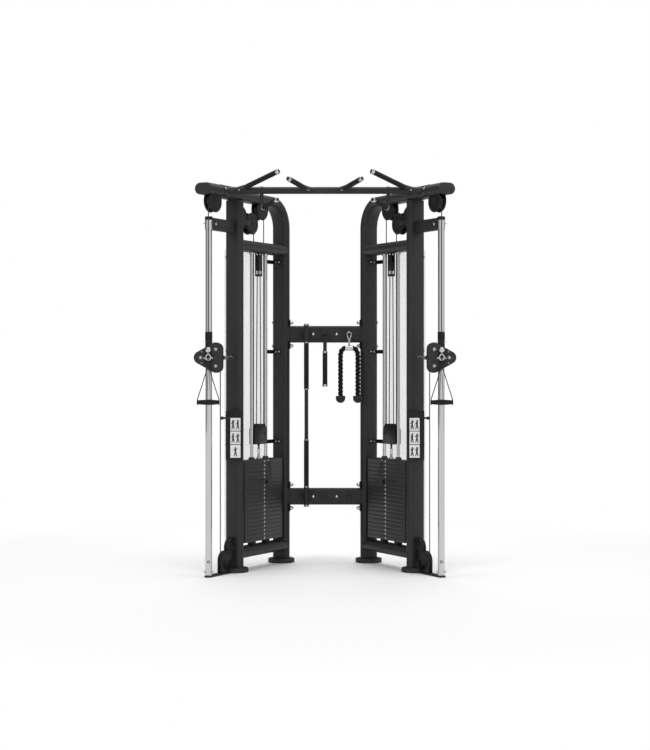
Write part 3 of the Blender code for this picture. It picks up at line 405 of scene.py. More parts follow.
for word, side in sides:
    at = tower(side)
    for place, z in (("upper", 1.9825), ("lower", 0.1120)):
        rings = [[at(u, a, z + b) for a, b in oval(tube_wide, tie_deep)] for u in (0.300, 0.58, 0.862)]
        piece(f"{word}_{place}_tie_tube", skin(rings), powder_coat, stands_for=(f"{word}_{place}_tie",))
    for place, lo, hi in both_faces(0.0080, 0.0145):
        arms = [slab(edge_on(at, stack_u), cheek_outline, lo, hi)]
        for du, half, low, high in ((-0.0150, 0.0060, 1.937, 1.9480), (0.0150, 0.0060, 1.937, 1.9480),
                                    (0.0, 0.021, 1.9465, 1.9575), (0.0, 0.0205, 1.8055, 1.8195)):
            arms.append(block(at, (stack_u + du - half, lo, low), (stack_u + du + half, hi, high)))
        piece(f"{word}_saddle_cheek_{place}", joined(arms), black_plastic, ease=0.0010)
    saddle = rod(at(stack_u, -0.011, saddle_z), at(stack_u, 0.011, saddle_z), 0.0137, 32, 0.001)
    piece(f"{word}_cable_saddle", saddle, black_plastic)
    for place, sign in fore_aft:
        bumper = lathe(at(stack_u + sign * rod_reach, 0, 0), up_line, bumper_profile, 40)
        piece(f"{word}_stack_bumper_{place}", bumper, bumper_rubber)

# Columns: hard-chromed steel tube, with a row of index holes on the inner side for the carriage's pin
# and a turned black cap pressed on top.
chrome = surface("hard chrome", (0.56, 0.562, 0.567), 0.09, metal=1.0, grain=700, bump=0.02, drift=0.03,
                 stretch=(1, 1, 0.02), depth=0.0002)
chrome.node_tree.nodes["Principled BSDF"].inputs["Specular Tint"].default_value = (0.12, 0.12, 0.125, 1.0)
# Painted shade: a near-black colour laid as thin discs and sheets where holes, slots and gaps are dark
# inside; no depth is cut.
painted_shade_black = surface("shadowed hole", (0.006, 0.006, 0.006), 0.8, grain=500, bump=0.1)
out_in = (("out", -1), ("in", 1))
to_front = Vector((0, -1, 0))
clamp_r = 0.0225
hole_low = 0.42
hole_pitch = 0.07
hole_count = 23


def oblong(left, low, right, high, radius, steps=3):
    return soften([(left, low), (right, low), (right, high), (left, high)], radius, True, steps)


tube_profile = oblong(0.016, 0.0103, 0.019, 2.1258, 0.0008)
cap_profile = soften([(0.0, 2.1290), (0.0205, 2.1290), (0.0232, 2.1265), (0.0232, 2.1090), (0.0192, 2.1090),
                      (0.0192, 2.1262)], 0.0015, False) + [(0.0, 2.1262)]
clamp_profile = oblong(0.0193, arm_z - arm_half, clamp_r, arm_z + 0.0212, 0.0012)
collar_profile = [(0.0052, 0.0), (0.0088, 0.0), (0.0088, 0.0022), (0.0052, 0.0022)]
bolt_steps = ((0, 0.55), (0.42, 0.55), (0.50, 0.98), (0.66, 1.0), (0.9, 0.72), (1.0, 0.30), (1.0, 0), (0, 0))


def repeat(name, made, look, count, pitch, body="frame", stands_for=(), ease=0.0):
    unit = piece(name + "_unit", made, look, None, (), ease)
    tree = bpy.data.node_groups.new(name + " row", "GeometryNodeTree")
    tree.interface.new_socket("Unit", in_out="INPUT", socket_type="NodeSocketGeometry")
    how_many = tree.interface.new_socket("Copies", in_out="INPUT", socket_type="NodeSocketInt")
    how_far = tree.interface.new_socket("Spacing", in_out="INPUT", socket_type="NodeSocketVector")
    tree.interface.new_socket("Row", in_out="OUTPUT", socket_type="NodeSocketGeometry")
    given = add_node(tree, "NodeGroupInput", {}).outputs
    line = add_node(tree, "GeometryNodeMeshLine", {"Count": given["Copies"], "Offset": given["Spacing"]},
                    mode="OFFSET")
    copies = add_node(tree, "GeometryNodeInstanceOnPoints", {"Points": line, "Instance": given["Unit"]})
    real = add_node(tree, "GeometryNodeRealizeInstances", {"Geometry": copies})
    paint = add_node(tree, "GeometryNodeSetMaterial", {"Geometry": real, "Material": look})
    add_node(tree, "NodeGroupOutput", {"Row": paint})
    row_maker = unit.modifiers.new("row", "NODES")
    row_maker.node_group = tree
    row_maker[how_many.identifier] = count
    row_maker[how_far.identifier] = (0, 0, pitch)
    bpy.context.view_layer.update()
    mesh = bpy.data.meshes.new_from_object(unit.evaluated_get(bpy.context.evaluated_depsgraph_get()))
    mesh.name = name
    row = bpy.data.objects.new(name, mesh)
    bpy.context.scene.collection.objects.link(row)
    bpy.data.objects.remove(unit, do_unlink=True)
    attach(row, body)
    if stands_for:
        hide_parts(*stands_for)


def bolt(name, spot, axis, radius, high, look, body="frame"):
    profile = [(radius * r, high * h) for r, h in bolt_steps]
    piece(name, lathe(spot, axis, profile, 24), look, body)


for word, side in sides:
    at = tower(side)
    foot = at(0, 0, 0)
    tube = lathe(foot, up_line, tube_profile, 64)
    piece(f"{word}_column_tube", tube, chrome, stands_for=(f"{word}_column",))
    piece(f"{word}_column_cap", lathe(foot, up_line, cap_profile, 48), black_plastic)
    piece(f"{word}_column_clamp", lathe(foot, up_line, clamp_profile, 48), chrome)
    outward = Vector((side, 0, 0))
    # The index holes are thin discs in painted shade, standing for the dark inside of each hole.
    hole = lathe(foot + Vector((-side * 0.01875, 0, hole_low)), -outward,
                 [(0, 0.0004), (0.0040, 0.0004), (0.0046, 0.0), (0, 0.0)], 20)
    repeat(f"{word}_column_holes", hole, painted_shade_black, hole_count, hole_pitch)
    for face, sign in out_in:
        axis = at(0.047, sign * 1.0, arm_z) - at(0.047, 0, arm_z)
        bolt(f"{word}_arm_bolt_{face}", at(0.047, sign * 0.0198, arm_z), axis, 0.0085, 0.006, chrome)
        seat = foot + Vector((sign * 0.0186, 0, 0.0310))
        bolt(f"{word}_column_foot_nut_{face}", seat, Vector((sign, 0, 0)), 0.0075, 0.0105, chrome)
    seat = foot + Vector((0, -0.0182, 0.092))
    # A flat ring in painted shade around the set screw stands for the shade around its seat.
    piece(f"{word}_column_screw_ring", lathe(seat, to_front, collar_profile, 28), painted_shade_black)
    bolt(f"{word}_column_set_screw", seat, to_front, 0.0060, 0.0026, chrome)
    bolt(f"{word}_clamp_screw", foot + Vector((side * 0.0222, 0, 2.088)), outward, 0.0050, 0.0105, chrome)

# Column bases: a flat bar with a rounded front end on the floor, carrying the two moulded half covers
# of the bottom pulleys on straight stands. A narrow slot for the cable parts the halves, with a dark sheet
# of painted shade set in it, and a capped bolt holds them at each pulley.
path_r = 0.0483
rise_u = 0.130
base_low = (rise_u + path_r, 0.080)
base_high = (0.300 - path_r, 0.153)
bar_half = 0.024
bar_front = -0.028
bar_back = 0.205


def boot_outline(radius, steps=32):
    lean = math.atan2(base_high[1] - base_low[1], base_high[0] - base_low[0])
    apart = math.hypot(base_high[0] - base_low[0], base_high[1] - base_low[1])
    notch = math.acos(apart / 2 / radius)
    out = []
    for centre, start, end in ((base_low, lean - math.pi / 2, lean + notch - 2 * math.pi),
                               (base_high, lean + math.pi - notch, lean - math.pi / 2)):
        for i in range(steps + 1):
            t = start + (end - start) * i / steps
            out.append((centre[0] + radius * math.cos(t), centre[1] + radius * math.sin(t)))
    return out[:steps + 1] + out[steps + 2:]


bar_outline = [(bar_front + bar_half + bar_half * math.cos(math.radians(a)),
                bar_half * math.sin(math.radians(a))) for a in range(90, 271, 10)]
bar_outline += [(bar_back, -bar_half), (bar_back, bar_half)]
for word, side in sides:
    at = tower(side)
    base = slab(at, bar_outline, 0.0, 0.010)
    piece(f"{word}_base_bar", base, powder_coat, stands_for=(f"{word}_column_base",), ease=0.0015)
    for face, lo, hi in both_faces(0.0030, 0.0160):
        cover = slab(edge_on(at), boot_outline(0.060), lo, hi)
        stand = block(at, (0.119, lo, 0.009), (0.230, hi, 0.085))
        piece(f"{word}_bottom_cover_{face}", cover, black_plastic, ease=0.0048, segments=4)
        piece(f"{word}_bottom_stand_{face}", stand, black_plastic, ease=0.0048, segments=4)
    # Between the halves, a near-black sheet of painted shade fills the slot's outline.
    piece(f"{word}_bottom_cover_gap_shade", slab(edge_on(at), boot_outline(0.0555), -0.0040, 0.0040), painted_shade_black)
    ferrule = [(0, 0.0), (0.0072, 0.0), (0.0072, 0.010), (0.0056, 0.013), (0, 0.013)]
    piece(f"{word}_bottom_cable_boot", lathe(at(rise_u, 0, 0.110), up_line, ferrule, 28), black_plastic)
    for k, (u, z) in enumerate((base_low, base_high)):
        for face, sign in out_in:
            seat = at(u, sign * 0.0158, z)
            axis = at(u, sign, z) - at(u, 0, z)
            rim = [(0, 0.002), (0.017, 0.002), (0.019, 0.0), (0, 0.0)]
            piece(f"{word}_bottom_washer_{k}_{face}", lathe(seat, axis, rim, 36), black_plastic)
            bolt(f"{word}_bottom_bolt_{k}_{face}", seat + axis * 0.0018, axis, 0.0085, 0.005, powder_coat)

# Pulleys: glass-filled nylon wheels with a deep round groove and lightening recesses, each turning on its
# own steel axle between two moulded guard discs with a raised rim and a black capped bolt.
wheel_nylon = surface("pulley nylon", (0.016, 0.016, 0.017), 0.38, grain=600, bump=0.1)
fall_reach = 0.062
drop_ahead = 0.030
cable_u = -drop_ahead * plan_s
cable_n = drop_ahead * plan_c
top_wheel_z = 2.221
small_z = 0.828
small_reach = 0.045
guard_r = 0.067
guard_in = 0.013
guard_out = 0.024
front_top = (cable_u + path_r, cable_n, top_wheel_z)
rear_top = (stack_u + fall_reach - path_r, 0.0, top_wheel_z)
middle = (stack_u - fall_reach - path_r, 0.0, 2.124)
over_upright = (0.288 + path_r, 0.0, 2.1565)
wheels = {"front_top_pulley": front_top, "rear_pulley": rear_top, "mid_pulley": middle,
          "upright_pulley": over_upright, "bottom_pulley_lower": (base_low[0], 0.0, base_low[1]),
          "bottom_pulley_upper": (base_high[0], 0.0, base_high[1])}
guards = {"front_top": front_top, "rear_top": rear_top, "middle": middle, "over_upright": over_upright}
guard_high = guard_out - guard_in
guard_profile = [(0, 0.0), (guard_r - 0.002, 0.0), (guard_r, 0.002), (guard_r, guard_high - 0.004),
                 (guard_r - 0.0035, guard_high), (guard_r - 0.008, guard_high),
                 (guard_r - 0.011, guard_high - 0.0025), (0.019, guard_high - 0.0025),
                 (0.016, guard_high), (0, guard_high)]
strap_outline = oblong(-0.013, -0.012, 0.013, 0.040, 0.010, 5)


def wheel_profile(groove, flange, wide, bore):
    w = wide / 2
    well = groove * 0.72
    hub = bore * 1.7
    half = [(bore, -w), (hub, -w), (hub, -w * 0.55), (well, -w * 0.55), (well, -w), (flange - 0.001, -w),
            (flange, -w * 0.82), (groove + 0.0022, -0.0042), (groove, -0.0018)]
    return half + [(r, -h) for r, h in half[::-1]]


for word, side in sides:
    at = tower(side)
    axis = at(0, 1, 0) - at(0, 0, 0)
    for name, spot in wheels.items():
        node = f"{word}_{name}"
        wheel = lathe(at(*spot), axis, wheel_profile(0.045, 0.050, 0.022, 0.0083), 56)
        piece(node + "_wheel", wheel, wheel_nylon, node, (node,))
    for place, sign in fore_aft:
        node = f"{word}_stack_pulley_{place}"
        wheel = lathe(at(stack_u + sign * small_reach, 0, small_z), axis,
                      wheel_profile(0.0137, 0.022, 0.020, 0.0053), 40)
        piece(node + "_wheel", wheel, wheel_nylon, node, (node,))
    for name, (u, n, z) in guards.items():
        for face, sign in (("inner", 1), ("outer", -1)):
            disc = lathe(at(u, n + sign * guard_in, z), axis * sign, guard_profile, 56)
            piece(f"{word}_{name}_guard_{face}", disc, black_plastic)
            seat = at(u, n + sign * (guard_out - 0.0003), z)
            bolt(f"{word}_{name}_bolt_{face}", seat, axis * sign, 0.0085, 0.0055, powder_coat)
        axle = rod(at(u, n - guard_in - 0.002, z), at(u, n + guard_in + 0.002, z), 0.0079, 24)
        piece(f"{word}_{name}_axle", axle, chrome)
    for (face, lo, hi), strap_span in zip(both_faces(0.014, 0.023), both_faces(0.0238, 0.0275)):
        bracket = block(at, (0.322, lo, 2.110), (middle[0] - 0.02, hi, 2.138))
        piece(f"{word}_middle_bracket_{face}", bracket, powder_coat, ease=0.002)
        strap = slab(edge_on(at, rear_top[0], rear_top[2]), strap_outline, *strap_span[1:])
        piece(f"{word}_rear_top_strap_{face}", strap, powder_coat, ease=0.0008)

# Guide rods: ground chrome bars that the plates slide on, standing inside the bumpers on the lower tie
# and held by pressed collars under the upper one.
rod_top = 1.9562
rod_collar = oblong(0.0101, 1.938, 0.0150, rod_top, 0.002)
for word, side in sides:
    at = tower(side)
    for place, sign in fore_aft:
        u = stack_u + sign * rod_reach
        node = f"{word}_guide_rod_{place}"
        bar = rod(at(u, 0, 0.1361), at(u, 0, rod_top), 0.0100, 48, 0.0004)
        piece(node + "_bar", bar, chrome, stands_for=(node,))
        piece(node + "_collar", lathe(at(u, 0, 0), up_line, rod_collar, 40), chrome)

# Weight stack: black enamelled iron plates with eased edges, bored for the rods and drilled for the pin.
# The lower plates rest on the bumpers; the upper ones hang on the stem with the selector pin in the last.
plate_iron = surface("black enamelled iron", (0.0205, 0.0205, 0.021), 0.50, grain=260, bump=0.14, drift=0.15)
mark_white = surface("white plate mark", (0.72, 0.72, 0.71), 0.5, grain=600, bump=0.05)
bushing_red = surface("dark red bushing", (0.075, 0.010, 0.011), 0.5, grain=500, bump=0.08)
stem_steel = surface("stem steel", (0.42, 0.42, 0.43), 0.28, metal=1.0, grain=500, bump=0.05,
                     stretch=(1, 1, 0.05))
plate_pitch = 0.025
plate_gap = 0.0002
plate_half = 0.0425
stack_low = 0.169
stack_mid = stack_low + 14 * plate_pitch
stack_top = stack_mid + 6 * plate_pitch
plate_outline = oblong(-0.230, -plate_half, 0.230, plate_half, 0.012, 5)
mark_ring = [(0.0030, 0.0), (0.0058, 0.0), (0.0058, 0.0008), (0.0030, 0.0008)]
pin_hole = [(0, 0.0), (0.0032, 0.0), (0.0032, 0.0005), (0, 0.0005)]
block_neck = soften([(0, 0.772), (0.0100, 0.772), (0.0085, 0.760), (0.0056, 0.752), (0.0056, 0.731),
                     (0, 0.731)], 0.002, False)
eye_nut = soften([(0, -0.001), (0.0160, -0.001), (0.0160, 0.007), (0.0095, 0.014), (0.0070, 0.020),
                  (0.0070, 0.027), (0, 0.027)], 0.002, False)
bushing = soften([(0.0111, -0.002), (0.0215, -0.002), (0.0215, 0.005), (0.0180, 0.009), (0.0180, 0.016),
                  (0.0111, 0.016)], 0.002)
block_cheek = soften([(-0.082, 0.763), (0.074, 0.763), (0.074, 0.858), (0.045, 0.889), (-0.053, 0.889),
                      (-0.082, 0.858)], 0.005, True, 4)


def frames_along(path, up, closed=False):
    total = len(path)
    out = []
    for i, p in enumerate(path):
        before = path[i - 1] if i or closed else p
        after = path[(i + 1) % total] if i < total - 1 or closed else p
        along = (after - before).normalized()
        across = along.cross(up).normalized()
        out.append((p, across.cross(along).normalized(), across))
    return out


def along_path(path, section, up, closed=False):
    rings = [[p + lift * a + across * b for a, b in section]
             for p, lift, across in frames_along(path, up, closed)]
    return skin(rings, closed)


for word, side in sides:
    at = tower(side)
    axis = at(0, 1, 0) - at(0, 0, 0)
    head = f"{word}_weight_head"
    groups = (("resting", stack_low, 14, "frame", f"{word}_rest_plates"),
              ("lifted", stack_mid, 6, head, head))
    for group, low, count, body, node in groups:
        plate = slab(lambda p, q, h: at(stack_u + p, q, low + h), plate_outline, plate_gap,
                     plate_pitch - plate_gap)
        repeat(f"{word}_{group}_plates", plate, plate_iron, count, plate_pitch, body, (node,), 0.0011)
    for group, low, count, body, node in groups:
        spot = at(stack_u, 0.0424, low + plate_pitch / 2)
        # The white marks are printed; the pin holes are thin discs in painted shade for the dark inside each
        # bore.
        for part, profile, segs, look in (("marks", mark_ring, 24, mark_white),
                                          ("pin_holes", pin_hole, 20, painted_shade_black)):
            mark = lathe(spot, axis, profile, segs)
            repeat(f"{word}_{group}_{part}", mark, look, count, plate_pitch, body)
    stem = rod(at(stack_u, 0, 0.200), at(stack_u, 0, stack_mid), 0.012, 32, 0.001)
    piece(f"{word}_stack_stem_low", stem, stem_steel, head)
    piece(f"{word}_block_neck", lathe(at(stack_u, 0, 0), up_line, block_neck, 28), black_plastic, head)
    piece(f"{word}_stem_eye_nut", lathe(at(stack_u, 0, stack_top), up_line, eye_nut, 32), stem_steel, head)
    link = []
    for mid_z, start in ((0.7325, 0), (0.7025, 180)):
        for i in range(13):
            t = math.radians(start + 180 * i / 12)
            link.append(at(stack_u + 0.0095 * math.cos(t), 0, mid_z + 0.0095 * math.sin(t)))
    piece(f"{word}_stack_quick_link", along_path(link, ring(0.0036, 12), axis, True), chrome, head)
    for place, sign in fore_aft:
        collar = lathe(at(stack_u + sign * rod_reach, 0, stack_top), up_line, bushing, 40)
        piece(f"{word}_top_bushing_{place}", collar, bushing_red, head)
    for (face, lo, hi), sign in zip(both_faces(0.015, 0.019), (1, -1)):
        cheek = slab(edge_on(at, stack_u), block_cheek, lo, hi)
        piece(f"{word}_pulley_block_{face}", cheek, black_plastic, head, ease=0.0012)
        for k, du in enumerate((-small_reach, small_reach)):
            seat = at(stack_u + du, sign * 0.0188, small_z)
            bolt(f"{word}_block_bolt_{face}_{k}", seat, axis * sign, 0.007, 0.004, powder_coat, head)
    foot = block(at, (stack_u - 0.066, -0.0152, 0.764), (stack_u + 0.066, 0.0152, 0.782))
    piece(f"{word}_pulley_block_foot", foot, powder_coat, head, ease=0.002)
    for k, du in enumerate((-small_reach, small_reach)):
        axle = rod(at(stack_u + du, -0.016, small_z), at(stack_u + du, 0.016, small_z), 0.0049, 20)
        piece(f"{word}_block_axle_{k}", axle, chrome, head)

# Selector pins: a steel pin with a moulded knob, pushed through the last lifted plate into the stem,
# and a thin black cord from the top plate that keeps the pin with the stack.
knob_black = surface("pin knob plastic", (0.016, 0.016, 0.017), 0.34, grain=500, bump=0.08)
cord_black = surface("braided cord", (0.012, 0.012, 0.013), 0.72, grain=1500, bump=0.5)
pin_z = stack_mid + plate_pitch / 2
cord_r = 0.002
cord_face = plate_half + cord_r + 0.0003
cord_marks = ((0.045, 0.0, stack_top - 0.012), (0.058, 0.002, stack_top - 0.040),
              (0.062, 0.006, stack_top - 0.072), (0.056, 0.010, stack_top - 0.100),
              (0.040, 0.013, stack_top - 0.119), (0.026, 0.014, stack_top - 0.1245),
              (0.0133, 0.014, pin_z))
pin_shank = [(0, -0.005), (0.0035, -0.005), (0.005, -0.0035), (0.005, 0.0455), (0, 0.0455)]
pin_knob = soften([(0.0, 0.0455), (0.0075, 0.0455), (0.0085, 0.052), (0.011, 0.058), (0.011, 0.074),
                   (0.008, 0.078), (0.0, 0.078)], 0.003, False)


def smooth_path(marks, per_span=6):
    out = []
    for i in range(len(marks) - 1):
        p0 = marks[max(0, i - 1)]
        p1 = marks[i]
        p2 = marks[i + 1]
        p3 = marks[min(len(marks) - 1, i + 2)]
        for k in range(per_span):
            t = k / per_span
            out.append(0.5 * ((2 * p1) + (p2 - p0) * t + (2 * p0 - 5 * p1 + 4 * p2 - p3) * t * t
                              + (3 * p1 - p0 - 3 * p2 + p3) * t ** 3))
    out.append(marks[-1])
    return out


for word, side in sides:
    at = tower(side)
    axis = at(0, 1, 0) - at(0, 0, 0)
    pin = f"{word}_selector_pin"
    head = f"{word}_weight_head"
    seat = at(stack_u, 0, pin_z)
    piece(f"{word}_pin_shank", lathe(seat, axis, pin_shank, 28), chrome, pin, (pin,))
    piece(f"{word}_pin_knob", lathe(seat, axis, pin_knob, 40), knob_black, pin)
    path = smooth_path([at(stack_u + u, cord_face + n, z) for u, n, z in cord_marks])
    lanyard = piece(f"{word}_pin_lanyard_cord", along_path(path, ring(cord_r, 10), axis), cord_black, None,
                    (f"{word}_pin_lanyard",))
    tuple(path[0])
    [tuple(p) for p in path]
    tuple(path[0])
    tuple(path[-1])
    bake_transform(lanyard)
    seat = at(stack_u + cord_marks[0][0], 0.0423, stack_top - 0.008)
    bolt(f"{word}_lanyard_screw", seat, axis, 0.005, 0.003, chrome, head)

# Shrouds: a clear polycarbonate sheet on the outer side of each tower, screwed to the front upright
# and to moulded brackets on the rear one.
clear_sheet = surface("clear polycarbonate", (0.66, 0.67, 0.68), 0.16, grain=30, bump=0.02, drift=0.04)
clear_sheet.node_tree.nodes["Principled BSDF"].inputs["Alpha"].default_value = 0.16
bracket_half = 0.012
sheet_outline = oblong(0.276, 0.150, 0.800, 1.955, 0.018, 5)
for word, side in sides:
    at = tower(side)
    piece(f"{word}_shroud_sheet", slab(edge_on(at), sheet_outline, -0.062, -0.058), clear_sheet,
          stands_for=(f"{word}_shroud",), ease=0.0008)
    outward = at(0, -1, 0) - at(0, 0, 0)
    forward = at(-1, 0, 0) - at(0, 0, 0)
    for k, z in enumerate((0.770, 1.340, 1.910)):
        low = z - bracket_half
        high = z + bracket_half
        arm = block(at, (0.776, -0.0578, low), (0.8380, -0.0455, high))
        tab = block(at, (0.8332, -0.0465, low), (0.8382, 0.012, high))
        piece(f"{word}_shroud_bracket_{k}", joined((arm, tab)), black_plastic, ease=0.0024, segments=3)
        for j, u in enumerate((0.788, 0.296)):
            bolt(f"{word}_shroud_screw_{k}_{j}", at(u, -0.0618, z), outward, 0.006, 0.003, chrome)
        for j, n in enumerate((-0.0206, 0.003)):
            bolt(f"{word}_bracket_screw_{k}_{j}", at(0.8334, n, z), forward, 0.0052, 0.003, chrome)

# Carriages: a slim ribbed sleeve that runs on the column between a front and a rear plate, which bolted
# spacers hold apart, with a sprung release lever and the chrome ball stop of the handle's cable.
carriage_z = 1.296
ball_y = -0.050
ball_z = 1.340
ball_r = 0.018
plate_face = -0.0303
lobes = ((0.044, 0.052), (0.044, -0.052), (-0.049, 0.0))
plate_bolts = ((0.0424, 0.0488), (0.0424, -0.0494), (-0.0459, 0.0))
lever_steel = surface("dull lever steel", (0.17, 0.17, 0.174), 0.45, metal=0.8, grain=600, bump=0.08)
to_back = Vector((0, 1, 0))
sleeve_profile = soften([(0.0193, 1.240), (0.0206, 1.240), (0.0213, 1.243), (0.0213, 1.446), (0.0204, 1.449),
                         (0.0193, 1.449)], 0.0006)
rib_steps = ((1.397, 0.0210), (1.400, 0.0221), (1.438, 0.0221), (1.441, 0.0210))
slot_shade_outline = oblong(-0.021, 1.262, 0.019, 1.352, 0.012, 5)
bolt_washer = [(0, 0.0016), (0.0098, 0.0016), (0.0105, 0.0), (0, 0.0)]
ball_turns = [math.radians(9 * i) for i in range(1, 20)]
ball_profile = [(0, -ball_r)]
ball_profile += [(ball_r * math.sin(t), -ball_r * math.cos(t)) for t in ball_turns] + [(0, ball_r)]
barrel_profile = soften([(0.0, 0.0), (0.008, 0.0), (0.008, 0.0413), (0.011, 0.0413), (0.011, 0.0575),
                         (0.006, 0.0615), (0.0, 0.0615)], 0.0012, False)
blade_outline = soften([(0.099, -0.0035), (0.108, -0.0015), (0.116, 0.0040), (0.124, 0.0062),
                        (0.1305, 0.0040), (0.1350, -0.0025), (0.1378, -0.0010), (0.1345, 0.0078),
                        (0.1260, 0.0122), (0.115, 0.0102), (0.105, 0.0045), (0.099, 0.0030)], 0.003, True, 4)


def facing(side):
    def at(x, y, z):
        return Vector((side * (column_x - x), y + column_plane, z))
    return at


def lobe_outline(centres, radius, segs=64):
    cloud = sorted({(c[0] + a, c[1] + b) for c in centres for a, b in ring(radius, segs)})

    def half(run):
        out = []
        for p in run:
            while len(out) > 1 and ((out[-1][0] - out[-2][0]) * (p[1] - out[-2][1])
                                    - (out[-1][1] - out[-2][1]) * (p[0] - out[-2][0])) <= 0:
                out.pop()
            out.append(p)
        return out[:-1]
    return half(cloud) + half(cloud[::-1])


plate_lobes = lobe_outline(lobes, 0.038)
for word, side in sides:
    at = facing(side)
    body = f"{word}_carriage"
    sleeve = lathe(at(0, 0, 0), up_line, sleeve_profile, 64)
    piece(f"{word}_carriage_sleeve", sleeve, black_plastic, body, (body,))
    ribs = []
    for k in range(13):
        turn = math.radians(195 + k * 150 / 12)
        rings = []
        for z, out in rib_steps:
            rings.append([at(r * math.cos(turn + d), r * math.sin(turn + d), z)
                          for r, d in ((0.0208, -0.055), (out, -0.04), (out, 0.04), (0.0208, 0.055))])
        ribs.append(skin(rings))
    piece(f"{word}_sleeve_ribs", joined(ribs), black_plastic, body)
    pin_line = rod(at(-0.0305, -0.010, 1.391), at(0.0305, -0.010, 1.391), 0.0027, 20, 0.0008)
    piece(f"{word}_sleeve_pin", pin_line, chrome, body)
    face_on = edge_on(at, 0.0, carriage_z)
    for place, lo, hi in (("front", -0.0305, -0.0205), ("rear", 0.080, 0.086)):
        plate = slab(face_on, plate_lobes, lo, hi)
        piece(f"{word}_carriage_plate_{place}", plate, powder_coat, body, ease=0.002, segments=3)
    for k, (x, dz) in enumerate(lobes):
        z = carriage_z + dz
        spacer = rod(at(x, -0.022, z), at(x, 0.082, z), 0.010, 28)
        piece(f"{word}_carriage_spacer_{k}", spacer, wheel_nylon, body)
        seat = at(plate_bolts[k][0], plate_face, carriage_z + plate_bolts[k][1])
        piece(f"{word}_carriage_washer_{k}", lathe(seat, to_front, bolt_washer, 36), stem_steel, body)
        bolt(f"{word}_carriage_bolt_{k}", seat + to_front * 0.0014, to_front, 0.0078, 0.0055, chrome, body)
        bolt(f"{word}_carriage_back_bolt_{k}", at(x, 0.0858, z), to_back, 0.0088, 0.005, chrome, body)
    # A near-black sheet of painted shade on the front plate stands for the dark behind the snap link, where
    # the cable passes.
    piece(f"{word}_carriage_slot_shade", slab(edge_on(at), slot_shade_outline, -0.0309, -0.0300), painted_shade_black, body)
    for k, dz in enumerate((0.0340, -0.0325)):
        seat = at(-0.0403, plate_face, carriage_z + dz)
        bolt(f"{word}_carriage_small_bolt_{k}", seat, to_front, 0.0048, 0.0035, stem_steel, body)
    boss = block(at, (0.060, 0.034, carriage_z - 0.013), (0.086, 0.081, carriage_z + 0.013))
    piece(f"{word}_lever_boss", boss, black_plastic, body, ease=0.003, segments=3)
    rise_x = rise_u * plan_c
    lug = block(at, (rise_x - 0.008, 0.085, 1.238), (rise_x + 0.008, rise_u * plan_s + 0.008, 1.262))
    piece(f"{word}_cable_lug", lug, powder_coat, body, ease=0.002)
    anchor = block(at, (-0.006, -0.036, 1.420), (0.006, -0.0205, 1.4485))
    piece(f"{word}_cable_anchor", anchor, black_plastic, body, ease=0.002, segments=3)
    ball_spot = at(0, ball_y, ball_z)
    piece(f"{word}_ball_stalk", rod(ball_spot, at(0, -0.030, ball_z), 0.007, 28), chrome, body)
    piece(f"{word}_ball_stop", lathe(ball_spot, to_back, ball_profile, 40), chrome, body)
    lever = f"{word}_release_lever"
    barrel = lathe(at(0.045, 0.0585, carriage_z), at(1, 0, 0) - at(0, 0, 0), barrel_profile, 36)
    piece(f"{word}_lever_barrel", barrel, lever_steel, lever, (lever,))
    blade = slab(face_on, blade_outline, 0.0515, 0.0655)
    piece(f"{word}_lever_blade", blade, lever_steel, lever, ease=0.0012)

# Handles: a chrome snap link under the ball stop, a sewn webbing stirrup and a barrel-shaped rubber grip
# between two moulded end flanges.
webbing = surface("black webbing", (0.016, 0.016, 0.017), 0.8, grain=1400, bump=0.5, stretch=(1, 1, 0.3))
grip_rubber = surface("ribbed grip rubber", (0.011, 0.011, 0.012), 0.55, grain=900, bump=0.25, shine=0.22)
to_right = Vector((1, 0, 0))
grip_z = 1.033
grip_half = 0.066
grip_ribs = 30
strap_marks = ((-0.062, grip_z), (-0.0625, 1.051), (-0.0454, 1.105), (-0.0247, 1.170), (-0.0066, 1.227),
               (-0.0030, 1.2390))
strap_marks += tuple((-x, z) for x, z in strap_marks[::-1])
pin_half = [(0, -0.0275), (0.0038, -0.0275), (0.0046, -0.0262), (0.0046, -0.0222), (0.0022, -0.0210)]
shackle_pin = pin_half + [(r, -h) for r, h in pin_half[::-1]]
loop_section = oblong(-0.009, -0.0014, 0.009, 0.0014, 0.0009, 2)
strap_section = oblong(-0.012, -0.002, 0.012, 0.002, 0.0012, 2)
keeper_outline = soften([(-0.0082, 1.2240), (0.0082, 1.2240), (0.0048, 1.2375), (-0.0048, 1.2375)], 0.002)


def pear(spot, high_z, high_r, low_z, low_r, steps=12):
    lean = math.asin((high_r - low_r) / (high_z - low_z))
    out = []
    for centre, radius, start, end in ((high_z, high_r, -lean, math.pi + lean),
                                       (low_z, low_r, math.pi + lean, 2 * math.pi - lean)):
        for i in range(steps + 1):
            t = start + (end - start) * i / steps
            out.append(spot + Vector((radius * math.cos(t), 0, centre + radius * math.sin(t))))
    return out


